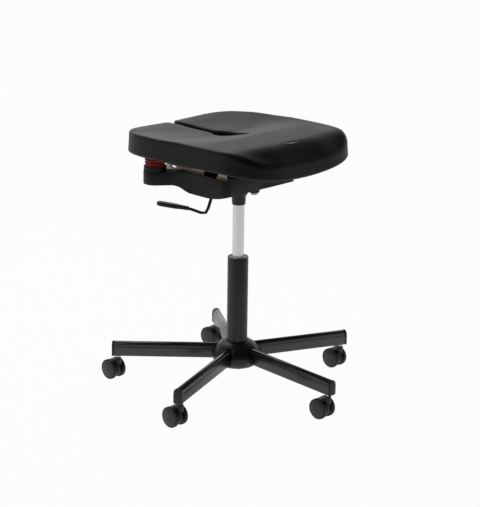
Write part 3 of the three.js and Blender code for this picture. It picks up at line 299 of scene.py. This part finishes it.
ACETAL = moulded_nylon("moulded_acetal_bush", "#dcdad4", "#e2e0da", "#d2d0ca", 0.4)
ZINC = plated_steel("zinc_plated_steel", "#dedacb", "#e6e2d4", "#c9c4b4", 0.5, 0.35)
STEM_STEEL = plated_steel("nickel_plated_steel", "#d2cfca", "#dcd9d4", "#bebbb6", 0.24, 1.0)
CHROME = ground_chrome()
RUBBER = spring_rubber()
WOOD = plywood()

# The finish of each CAD node, by a part of its name. The others are black steel.
FINISH_OF = {
    "seat_board": WOOD,
    "tilt_tray": CASTING,
    "column_tube": COLUMN_COAT,
    "hub_shell": HUB_PLASTIC,
    "gas_cylinder": CHROME,
    "piston_rod": CHROME,
    "lever_grip": GRIP_PLASTIC,
    "arm_": ARM_COAT,
    "end_cap_": CAP_PLASTIC,
    "_body": CASTOR_PLASTIC,
    "_stem": STEM_STEEL,
    "seat_spring": RUBBER,
    "guide_bush": ACETAL,
    "pivot_bush": ACETAL,
    "seat_carrier": ZINC,
    "stop_bolt": ZINC,
    "pivot_shaft": ZINC,
    "retaining_clip": ZINC,
    "thrust_bearing": ZINC,
    "lever_pin": ZINC,
}
for name, node in nodes.items():
    node.data.materials.clear()
    coats = [coat for word, coat in FINISH_OF.items() if word in name]
    node.data.materials.append(coats[0] if coats else BLACK_STEEL)


# Modelling helpers


def select_only(thing):
    bpy.ops.object.select_all(action="DESELECT")
    thing.select_set(True)
    bpy.context.view_layer.objects.active = thing


def settle(piece):
    """Puts the piece's place into its mesh, so that its object sits at the origin."""
    select_only(piece)
    bpy.ops.object.transform_apply(location=True, rotation=True, scale=True)


def smooth_by(degrees):
    """Smooth shading of the active piece, with its sharper edges kept."""
    bpy.ops.object.shade_smooth_by_angle(angle=math.radians(degrees))


def stand_for(piece, name):
    """The piece takes the place of a CAD node and moves with its body."""
    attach(piece, body_of_node[name])
    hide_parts(name)


def copied(piece):
    twin = piece.copy()
    twin.data = piece.data.copy()
    scene.collection.objects.link(twin)
    return twin


def joined(pieces):
    bpy.ops.object.select_all(action="DESELECT")
    for thing in pieces:
        thing.select_set(True)
    bpy.context.view_layer.objects.active = pieces[0]
    bpy.ops.object.join()
    return bpy.context.object


def refined(name, bevel_mm):
    """A copy of a CAD node with its triangles merged, its edges broken and its curves smooth."""
    sharp = 32
    select_only(nodes[name])
    bpy.ops.object.duplicate()
    piece = bpy.context.object
    bpy.ops.object.parent_clear(type="CLEAR_KEEP_TRANSFORM")
    piece.name = name + "_fine"
    bpy.ops.object.mode_set(mode="EDIT")
    bpy.ops.mesh.select_all(action="SELECT")
    bpy.ops.mesh.remove_doubles(threshold=0.01 * MM)
    bpy.ops.mesh.dissolve_limited(angle_limit=math.radians(0.5))
    bpy.ops.object.mode_set(mode="OBJECT")
    edge = piece.modifiers.new("broken_edge", "BEVEL")
    edge.width = bevel_mm * MM
    edge.segments = 2
    edge.limit_method = "ANGLE"
    edge.angle_limit = math.radians(sharp)
    edge.use_clamp_overlap = True
    bpy.ops.object.modifier_apply(modifier=edge.name)
    smooth_by(sharp)
    stand_for(piece, name)
    return piece


# How far the edges are broken, in millimetres, by the start of a node's name. Mouldings and pressed
# steel are rounder than drawn tube.
EDGE_BREAKS = {
    "arm_": 0.4,
    "end_cap_": 0.5,
    "hub_shell": 0.5,
    "lever_grip": 0.5,
    "lever_rod": 0.5,
    "seat_carrier": 0.5,
    "stop_bolt": 0.3,
}
for name in nodes:
    for start, width in EDGE_BREAKS.items():
        if name.startswith(start):
            refined(name, width)


# Turned pieces: the same sizes as their solids, but round. A profile's points are a radius and a
# height, in millimetres.


def turned(name, profile, coat, closed=True, steps=64):
    """A turned piece on the Z axis. A closed profile ends where it starts, as that of a tube does;
    an open one ends in a flat face."""
    bpy.ops.object.select_all(action="DESELECT")
    bpy.ops.mesh.primitive_circle_add(
        vertices=steps, radius=profile[0][0] * MM, fill_type="NOTHING"
    )
    piece = bpy.context.object
    piece.name = name
    bpy.ops.object.mode_set(mode="EDIT")
    bpy.ops.mesh.select_all(action="SELECT")
    bpy.ops.transform.translate(value=(0, 0, profile[0][1] * MM))
    for before, after in zip(profile, profile[1:] + (profile[:1] if closed else [])):
        bpy.ops.mesh.extrude_region_move(
            TRANSFORM_OT_translate={"value": (0, 0, (after[1] - before[1]) * MM)}
        )
        grow = after[0] / before[0]
        bpy.ops.transform.resize(value=(grow, grow, 1), center_override=(0, 0, 0))
    bpy.ops.mesh.select_all(action="SELECT")
    bpy.ops.mesh.remove_doubles(threshold=0.002 * MM)
    if not closed:
        bpy.ops.mesh.fill_holes(sides=0)
    bpy.ops.mesh.normals_make_consistent(inside=False)
    bpy.ops.object.mode_set(mode="OBJECT")
    piece.data.materials.append(coat)
    smooth_by(30)
    return piece


def put(piece, name, place, turn=(0, 0, 0)):
    """Lays a piece that was made at the origin in the place of a CAD node."""
    piece.name = name + "_fine"
    piece.rotation_euler = turn
    piece.location = place
    settle(piece)
    stand_for(piece, name)


def lift():
    """Column tube, its bush, the gas cylinder and the socket under the tray."""
    tube = [(5.3, 62.9), (24.4, 62.9), (25, 63.5), (25, 332.4), (24.75, 333.1), (24.1, 333.5)]
    tube += [(23.8, 333.5), (23.4, 333.1), (23.4, 66.9), (5.3, 66.9)]
    put(turned("tube", tube, COLUMN_COAT), "column_tube", column)
    bush = [(14.3, 264.3), (23.1, 264.3), (23.1, 331.6), (22.6, 332.3), (21.6, 332.3)]
    bush += [(14.8, 327.4), (14.3, 326.6)]
    put(turned("bush", bush, ACETAL), "guide_bush", column)
    cylinder = [(5.3, 232), (13.4, 232), (14, 232.6), (14, 463.2), (13.5, 506.2), (13.2, 506.6)]
    cylinder += [(4.3, 506.6), (4.3, 480.6), (12.2, 480.6), (12.2, 244), (5.3, 244)]
    put(turned("cylinder", cylinder, CHROME), "gas_cylinder", column)
    socket = [(14.3, 463.2), (15.5, 463.2), (16.2, 463.9), (17.2, 483), (17.6, 484.5)]
    socket += [(20.2, 487), (21, 489), (21.6, 495.2), (22.6, 496.6), (26.4, 496.7), (27, 497.3)]
    socket += [(27, 501.7), (14.3, 501.7)]
    put(turned("socket", socket, BLACK_STEEL), "column_socket", column)


def springs():
    """Ribbed rubber springs in their pressed cups."""
    low, high, ribs = 550.2, 599.8, 7
    bore, root = 6, 22
    rib = ((0.12, 22.6), (0.26, 23.9), (0.4, 24.5), (0.6, 24.5), (0.74, 23.9), (0.88, 22.6))
    pitch = (high - low) / ribs
    rubber = [(bore, low), (root, low)]
    for i in range(ribs):
        rubber += [(radius, low + (i + share) * pitch) for share, radius in rib]
    rubber += [(root, high), (bore, high)]
    cup = [(9, 513.3), (9, 517), (8.7, 517.3), (4.6, 517.3), (4.6, 547.9), (26.2, 547.9)]
    cup += [(27, 548.7), (27, 559.3), (26.6, 559.9), (25.8, 559.9), (25.4, 559.3), (25.4, 550.2)]
    cup += [(4.6, 549.9), (4.6, 577), (4.2, 577.9)]
    sprung = turned("spring", rubber, RUBBER)
    held = turned("cup", cup, SHADED_CUP_COAT, closed=False)
    for side in ("left", "right"):
        seat = middle("spring_cup_" + side)
        seat.z = 0
        spring = copied(sprung)
        spring.name = f"seat_spring_{side}_fine"
        spring.location = seat
        settle(spring)
        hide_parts("seat_spring_" + side)
        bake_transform(spring)
        put(copied(held), "spring_cup_" + side, seat)
    bpy.data.objects.remove(sprung)
    bpy.data.objects.remove(held)


def castor_wheel():
    """A wheel on the Z axis: the tread, the wheel inside it and the cover with its round edge."""
    tread = [(22.8, 9.8), (24.3, 9.8), (24.8, 10.1), (25, 10.7), (25, 17), (24.8, 17.7)]
    tread += [(24.3, 18.1), (23.4, 18.2), (22.3, 18.2), (22.3, 11)]
    core = [(3.3, 4.6), (8.2, 4.6), (22.7, 9.9), (22.2, 17.4), (9, 17.4), (3.3, 16.8)]
    cover = [(21.6, 16.8), (22.2, 17.4), (22.2, 18.6), (21.9, 19.2), (21.2, 19.5), (20.4, 19.4)]
    cover += [(19.9, 19.1), (19.2, 19.1), (18.6, 19.5), (14, 20.5), (8, 21.1), (3, 21.35)]
    cover += [(0.4, 21.4)]
    return joined(
        [
            turned("tread", tread, TYRE_RUBBER),
            turned("core", core, CASTOR_PLASTIC, steps=40),
            turned("cover", cover, COVER_PLASTIC, closed=False),
        ]
    )


def hood_front():
    """The hood goes on down the front, between the treads: an arc about the axle, along X."""
    width, wall, radius = 18.4 * MM, 2.3 * MM, 23.15 * MM
    start, length = math.radians(60), math.radians(56)
    bpy.ops.object.select_all(action="DESELECT")
    bpy.ops.mesh.primitive_plane_add(size=1)
    arc = bpy.context.object
    arc.scale = (width, wall, 1)
    settle(arc)
    bpy.ops.object.mode_set(mode="EDIT")
    bpy.ops.mesh.select_all(action="SELECT")
    bpy.ops.transform.rotate(
        value=math.radians(90), orient_axis="X", center_override=(0, 0, 0)
    )
    bpy.ops.transform.translate(value=(0, 0, radius))
    bpy.ops.mesh.spin(steps=14, angle=length, center=(0, 0, 0), axis=(1, 0, 0))
    bpy.ops.mesh.select_all(action="SELECT")
    bpy.ops.mesh.normals_make_consistent(inside=False)
    bpy.ops.object.mode_set(mode="OBJECT")
    arc.rotation_euler = (start, 0, 0)
    settle(arc)
    arc.data.materials.append(CASTOR_PLASTIC)
    smooth_by(30)
    return arc


def castors():
    wheel = castor_wheel()
    front = hood_front()
    quarter = math.pi / 2
    for number in range(1, 6):
        castor = f"castor_{number}_"
        axle = middle(castor + "axle")
        put(copied(wheel), castor + "wheel_left", axle, (0, quarter, 0))
        put(copied(wheel), castor + "wheel_right", axle, (0, -quarter, 0))
        apron = copied(front)
        apron.location = axle
        settle(apron)
        joined([refined(castor + "body", 0.5), apron])
        refined(castor + "stem", 0.4)
    bpy.data.objects.remove(wheel)
    bpy.data.objects.remove(front)


def tray():
    """The casting, its rear wall a little higher between the arms, with a rolled upper edge."""
    size = Vector((198, 4.5, 25)) * MM
    place = Vector((0, 67, 529.5)) * MM
    casting = refined("tilt_tray", 1.2)
    bpy.ops.object.select_all(action="DESELECT")
    bpy.ops.mesh.primitive_cube_add(size=1)
    wall = bpy.context.object
    wall.scale = size
    wall.location = column + place
    settle(wall)
    wall.data.materials.append(CASTING)
    edge = wall.modifiers.new("rolled_edge", "BEVEL")
    edge.width = 1.4 * MM
    edge.segments = 3
    bpy.ops.object.modifier_apply(modifier=edge.name)
    smooth_by(40)
    joined([casting, wall])


def seat_screws():
    """Four pan-head screws that hold the carrier to the seat board, heads under the plate."""
    plate = 599.9
    head = [(0.6, 0), (1.4, -0.9), (1.5, -2.6), (3.6, -2.6), (4.9, -1.9), (5.5, -0.4), (5.5, 0)]
    screw = turned("seat_screw", head, ZINC, steps=32)
    places = [(x, y, plate) for x in (-78, 78) for y in (-62, 96)]
    for number, place in enumerate(places, 1):
        one = copied(screw)
        one.name = f"seat_screw_{number}"
        one.location = column + Vector(place) * MM
        settle(one)
        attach(one, "seat")
    bpy.data.objects.remove(screw)


lift()
springs()
castors()
tray()
seat_screws()


# Seat: one moulding of foam with its own skin, from the same sizes as its solid. Everything here is
# in millimetres from the column's axis and the floor. A reach is how far it goes to the side, the
# front and the rear.


SEAT_TOP = 643.0
RIM = 588.0
BOARD_TOP = 613.7
RIM_REACH = (203.7, 216.7, 240)
EDGE_REACH = (201.6, 215, 238.2)
TOP_REACH = (199.8, 213.5, 236)
FRONT_SQUARENESS = 4.6
REAR_SQUARENESS = 3.9
SKIRT = 17
RIM_ROUND = 5

# The fall of the upper surface at the front, at the rear and along the sides behind the middle.
FRONT_FALL = 4
REAR_FALL = 6
SIDE_FALL = 3
HOLLOW = 17.5
REAR_HOLLOW_LOST = 0.38
SIDE_ROLL = 0.33

# The slit, and the drop that it ends in.
SLIT_HALF = 10
SLIT_MOUTH = 219
SLIT_END = 243
DROP_HALF = 24.5
DROP_NECK = 100
DROP_MIDDLE = 40
DROP_TIP = -28
LIP = 3.5


def smooth(value, low, high):
    share = min(max((value - low) / (high - low), 0), 1)
    return share * share * (3 - 2 * share)


def rounded(turn, half, front, rear):
    """Point of a rounded outline."""
    across, along = math.cos(turn), math.sin(turn)
    power = 2 / (FRONT_SQUARENESS if along < 0 else REAR_SQUARENESS)
    reach = front if along < 0 else rear
    return (
        math.copysign(abs(across) ** power * half, across),
        math.copysign(abs(along) ** power * reach, along),
    )


def rim_outline(turn, inset=0):
    return rounded(turn, *[reach - inset for reach in RIM_REACH])


def seat_height(x, y):
    """Height of the seat's upper surface."""
    half, front, rear = TOP_REACH
    across = 1 - min(abs(x) / half, 1) ** 2
    ends = FRONT_FALL * (-y / front) ** 3 if y < 0 else REAR_FALL * (y / rear) ** 3
    ends += SIDE_FALL * smooth(y, 10, 80) * (1 - smooth(y, 165, 232)) * (x / half) ** 2
    hollow = HOLLOW * smooth(y, -70, 58) * (1 - REAR_HOLLOW_LOST * smooth(y, 110, rear))
    roll = front_roll(x, y) * (SIDE_ROLL + (1 - SIDE_ROLL) * across)
    return SEAT_TOP - ends - hollow * across - roll


def front_roll(x, y):
    """How far the front has rolled down: a round that runs out into a straight slope. It starts
    further back near the corners."""
    radius, steepest = 60, math.radians(38)
    start, corners = 151, 10
    beyond = max(-y - start + corners * smooth(abs(x), 60, 150), 0)
    bent = min(beyond, radius * math.sin(steepest))
    return radius - math.sqrt(radius**2 - bent**2) + (beyond - bent) * math.tan(steepest)


def rim_height(x, y):
    """Height of the lower rim: it falls to the rear, and hangs in the middle of the front."""
    half, _, rear = RIM_REACH
    rear_fall, front_rise, front_hang = 7, 5, 25
    if y >= 0:
        return RIM - rear_fall * (y / rear) ** 2.5
    hang = front_hang * (1 - min(abs(x) / half, 1) ** 2)
    return RIM + front_rise * smooth(-y, 0, 110) - hang


def edge_radius(y):
    """Radius of the upper edge: small at the sides and the rear, larger along the front."""
    small, more = 5.5, 12.5
    return small + more * smooth(-y, 135, 200)


def even_turns(steps):
    """Turns that lay the points evenly round the seat's outline."""
    fine = 4000
    spots = [rim_outline(2 * math.pi * i / fine) for i in range(fine + 1)]
    lengths = [0.0]
    for before, after in zip(spots, spots[1:]):
        lengths.append(lengths[-1] + math.dist(before, after))
    turns = []
    at = 0
    for i in range(steps):
        while lengths[at] < lengths[-1] * i / steps:
            at += 1
        turns.append(2 * math.pi * at / fine)
    return turns


def pulled_in(point, by):
    length = math.hypot(*point)
    return (point[0] * (1 - by / length), point[1] * (1 - by / length))


def lofted(name, rings):
    """A closed body from rings of points in millimetres, with a flat fan at each end."""
    steps = len(rings[0])
    points = [spot for ring in rings for spot in ring]
    faces = [list(range(steps))[::-1]]
    for loop in range(len(rings) - 1):
        for i in range(steps):
            a, b = loop * steps + i, loop * steps + (i + 1) % steps
            faces.append((a, b, b + steps, a + steps))
    faces.append([(len(rings) - 1) * steps + i for i in range(steps)])
    mesh = bpy.data.meshes.new(name)
    mesh.from_pydata([column + Vector(spot) * MM for spot in points], [], faces)
    piece = bpy.data.objects.new(name, mesh)
    scene.collection.objects.link(piece)
    select_only(piece)
    bpy.ops.object.mode_set(mode="EDIT")
    bpy.ops.mesh.select_all(action="SELECT")
    bpy.ops.mesh.normals_make_consistent(inside=False)
    bpy.ops.object.mode_set(mode="OBJECT")
    return piece


def seat_rings():
    """The foam's skin, ring by ring: the top from its middle out, the upper edge, the side, the
    rim, and the recess that holds the seat board."""
    round_steps, top_rings, edge_rings, side_rings, rim_rings = 256, 40, 8, 12, 4
    turns = even_turns(round_steps)
    edges = [rounded(turn, *EDGE_REACH) for turn in turns]
    rims = [rim_outline(turn) for turn in turns]
    recess = [rim_outline(turn, SKIRT) for turn in turns]
    # The upper edge's round starts at the slope that the top has there, so that no ridge shows.
    tilts = []
    for edge in edges:
        half = edge_radius(edge[1]) / 2
        fall = seat_height(*pulled_in(edge, half + 1)) - seat_height(*pulled_in(edge, half))
        tilts.append(math.atan(max(fall, 0)))
    inner = [
        pulled_in(edge, edge_radius(edge[1]) * (1 - math.sin(tilt)))
        for edge, tilt in zip(edges, tilts)
    ]
    rings = []
    for i in range(1, top_rings + 1):
        share = i / top_rings
        rings.append(
            [(x * share, y * share, seat_height(x * share, y * share)) for x, y in inner]
        )
    for i in range(1, edge_rings + 1):
        ring = []
        for edge, start, tilt in zip(edges, inner, tilts):
            turn = tilt + (math.pi / 2 - tilt) * i / edge_rings
            radius = edge_radius(edge[1])
            x, y = pulled_in(edge, radius * (1 - math.sin(turn)))
            ring.append((x, y, seat_height(*start) - radius * (math.cos(tilt) - math.cos(turn))))
        rings.append(ring)
    top = rings[-1]
    for i in range(1, side_rings):
        share = i / side_rings
        ring = []
        for high, rim in zip(top, rims):
            low = rim_height(*rim) + RIM_ROUND
            across = share**1.5
            ring.append(
                (
                    high[0] + (rim[0] - high[0]) * across,
                    high[1] + (rim[1] - high[1]) * across,
                    high[2] + (low - high[2]) * share,
                )
            )
        rings.append(ring)
    for i in range(rim_rings + 1):
        turn = math.pi / 2 * i / rim_rings
        ring = []
        for rim in rims:
            x, y = pulled_in(rim, RIM_ROUND * (1 - math.cos(turn)))
            ring.append((x, y, rim_height(*rim) + RIM_ROUND * (1 - math.sin(turn))))
        rings.append(ring)
    rings.append([(x, y, rim_height(*rim)) for (x, y), rim in zip(recess, rims)])
    rings.append([(x, y, BOARD_TOP) for x, y in recess])
    return rings


def bezier(start, first, second, end, steps):
    corners = (start, first, second, end)
    points = []
    for i in range(steps + 1):
        t = i / steps
        weights = ((1 - t) ** 3, 3 * t * (1 - t) ** 2, 3 * t * t * (1 - t), t**3)
        points.append(tuple(sum(w * c[k] for w, c in zip(weights, corners)) for k in (0, 1)))
    return points


def slit_outline(grow):
    """Outline of the slit and of the drop, from one corner of the mouth to the other."""
    half = SLIT_HALF + grow
    drop = DROP_HALF + grow
    tip = DROP_TIP - grow
    mouth, wall, curve = 8, 8, 12
    flare = (half + 18, SLIT_END)
    side = bezier(flare, (half + 5, SLIT_END - 3), (half, 235), (half, SLIT_MOUTH), mouth)
    side += [(half, SLIT_MOUTH + (DROP_NECK - SLIT_MOUTH) * i / wall) for i in range(1, wall + 1)]
    widest = (drop, DROP_MIDDLE)
    side += bezier(
        (half, DROP_NECK), (half, DROP_NECK - drop), (drop, DROP_MIDDLE + drop), widest, curve
    )[1:]
    side += bezier(widest, (drop, tip + drop), (drop / 2, tip), (0, tip), curve)[1:]
    return side + [(-x, y) for x, y in side[-2::-1]]


def slit_rings():
    """The slit's cutter: upright walls that open in a round lip where they meet the surface."""
    below, above, over, clear = 540, 665, 4, 2
    lip_rings = 6
    rings = [[(x, y, below) for x, y in slit_outline(0)]]
    for i in range(lip_rings + 1):
        turn = math.pi / 2 * i / lip_rings
        ring = slit_outline(LIP * (1 - math.cos(turn)))
        rings.append([(x, y, seat_height(x, y) - LIP * (1 - math.sin(turn))) for x, y in ring])
    widest = slit_outline(LIP + clear)
    rings.append([(x, y, seat_height(x, y) + over) for x, y in widest])
    rings.append([(x, y, above) for x, y in widest])
    return rings


def seat_cushion():
    cushion = lofted("cushion", seat_rings())
    cutter = lofted("slit_cutter", slit_rings())
    opening = cushion.modifiers.new("slit", "BOOLEAN")
    opening.operation = "DIFFERENCE"
    opening.object = cutter
    opening.solver = "EXACT"
    skin = cushion.modifiers.new("skin", "REMESH")
    skin.mode = "VOXEL"
    skin.voxel_size = 2.6 * MM
    relax = cushion.modifiers.new("relax", "SMOOTH")
    relax.factor = 0.5
    relax.iterations = 3
    select_only(cushion)
    for modifier in list(cushion.modifiers):
        bpy.ops.object.modifier_apply(modifier=modifier.name)
    bpy.data.objects.remove(cutter)
    bpy.ops.object.shade_smooth()
    cushion.data.materials.clear()
    cushion.data.materials.append(FOAM)
    stand_for(cushion, "seat_cushion")


def seat_badge():
    """The bare oval on the front edge: a flat raised plate with a rounded border."""
    size = (20 * MM, 7.5 * MM, 1)
    upper, lower = -160, -167
    place, sunk = -163.4, 1.6
    bpy.ops.object.select_all(action="DESELECT")
    bpy.ops.mesh.primitive_circle_add(vertices=96, radius=1, fill_type="NGON")
    badge = bpy.context.object
    badge.name = "seat_oval"
    badge.scale = size
    settle(badge)
    bpy.ops.object.mode_set(mode="EDIT")
    bpy.ops.mesh.select_all(action="SELECT")
    bpy.ops.mesh.extrude_region_move(TRANSFORM_OT_translate={"value": (0, 0, 1.8 * MM)})
    bpy.ops.mesh.inset(thickness=0.6 * MM, depth=0.5 * MM)
    bpy.ops.mesh.inset(thickness=0.8 * MM, depth=0.0)
    bpy.ops.mesh.inset(thickness=0.5 * MM, depth=-0.35 * MM)
    bpy.ops.mesh.select_all(action="SELECT")
    bpy.ops.mesh.normals_make_consistent(inside=False)
    bpy.ops.object.mode_set(mode="OBJECT")
    slope = math.atan2(seat_height(0, upper) - seat_height(0, lower), upper - lower)
    badge.rotation_euler = (slope, 0, 0)
    badge.location = column + Vector((0, place, seat_height(0, place) - sunk)) * MM
    settle(badge)
    smooth_by(35)
    badge.data.materials.clear()
    badge.data.materials.append(BADGE_SKIN)
    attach(badge, "seat")


seat_cushion()
seat_badge()


# Floor and light


def lay_floor():
    """A white floor that keeps the stool's shadow. What share of it glows goes by the kind of ray:
    the camera's, a mirrored one or a scattered one."""
    bpy.ops.object.select_all(action="DESELECT")
    bpy.ops.mesh.primitive_plane_add(size=40, location=(0, 0, -0.0004))
    floor = bpy.context.object
    floor.name = "floor"
    material = bpy.data.materials.new("white_studio_floor")
    material.use_nodes = True
    tree = material.node_tree
    tree.nodes.clear()
    matt = add(tree, "ShaderNodeBsdfDiffuse", {"Color": linear("#e9e9e9")})
    glow = add(tree, "ShaderNodeEmission", {"Color": (1, 1, 1, 1), "Strength": 1.0})
    path = add(tree, "ShaderNodeLightPath")
    share = 0.0
    for ray, most in (("Is Camera Ray", 0.97), ("Is Glossy Ray", 0.75), ("Is Diffuse Ray", 0.35)):
        seen = {0: path.outputs[ray], 1: most}
        part = add(tree, "ShaderNodeMath", seen, operation="MULTIPLY").outputs[0]
        share = add(tree, "ShaderNodeMath", {0: part, 1: share}, operation="MAXIMUM").outputs[0]
    both = add(tree, "ShaderNodeMixShader", {0: share, 1: matt.outputs[0], 2: glow.outputs[0]})
    add(tree, "ShaderNodeOutputMaterial", {"Surface": both.outputs[0]})
    floor.data.materials.append(material)


def lamp(name, place, size, power, aim):
    data = bpy.data.lights.new(name, "AREA")
    data.shape = "RECTANGLE"
    data.size = size[0]
    data.size_y = size[1]
    data.energy = power
    thing = bpy.data.objects.new(name, data)
    scene.collection.objects.link(thing)
    thing.location = place
    thing.rotation_euler = (Vector(place) - Vector(aim)).to_track_quat("Z", "Y").to_euler()


def light_studio():
    """White all round as the camera sees it. What lights the stool is bright low down behind it,
    and dim overhead and behind the camera, as in a studio with one white sweep."""
    world = bpy.data.worlds.new("white_studio")
    scene.world = world
    world.use_nodes = True
    tree = world.node_tree
    tree.nodes.clear()
    right = Vector((view_right.x, view_right.y, 0)).normalized()
    toward = Vector((view_back.x, view_back.y, 0)).normalized()
    above = Vector((0, 0, 1))
    path = add(tree, "ShaderNodeLightPath")
    rays = {0: path.outputs["Is Camera Ray"], 1: path.outputs["Is Transmission Ray"]}
    seen = add(tree, "ShaderNodeMath", rays, operation="MAXIMUM")
    where = add(tree, "ShaderNodeTexCoord").outputs["Generated"]
    facing = add(tree, "ShaderNodeVectorMath", {0: where, 1: toward}, operation="DOT_PRODUCT")
    depth = {"Value": facing.outputs["Value"], "From Min": -1.0, "From Max": 0.1}
    room = add(tree, "ShaderNodeMapRange", depth | {"To Min": 1.2, "To Max": 0.1})
    height = add(tree, "ShaderNodeSeparateXYZ", {0: where})
    rise = {"Value": height.outputs["Z"], "From Min": 0.3, "From Max": 0.62}
    low = add(tree, "ShaderNodeMapRange", rise | {"To Min": 1.0, "To Max": 0.12})
    shares = {0: room.outputs["Result"], 1: low.outputs["Result"]}
    lit = add(tree, "ShaderNodeMath", shares, operation="MULTIPLY")
    strength = add(tree, "ShaderNodeMix", {0: seen.outputs[0], 2: lit.outputs[0], 3: 1.0})
    glow = {"Color": (1, 1, 1, 1), "Strength": strength.outputs[0]}
    sky = add(tree, "ShaderNodeBackground", glow)
    add(tree, "ShaderNodeOutputWorld", {"Surface": sky.outputs[0]})
    target = column + above * 0.45
    beside = right * -1.9 + toward * 0.7
    lamp("behind", target - right - toward * 1.3 + above * 1.6, (0.9, 0.7), 9, target)
    lamp("key", target + beside + above * 1.2, (0.9, 1.2), 6, target)
    lamp("low", target + beside - above * 0.1, (0.9, 0.6), 1, target)
    lamp("overhead", target + above * 2, (1.2, 1.2), 3, target)
    lamp("fill", target + right * 2.1 + toward * 0.3 + above * 0.3, (0.8, 1.4), 0.4, target)


lay_floor()
light_studio()
scene.view_settings.view_transform = "Standard"
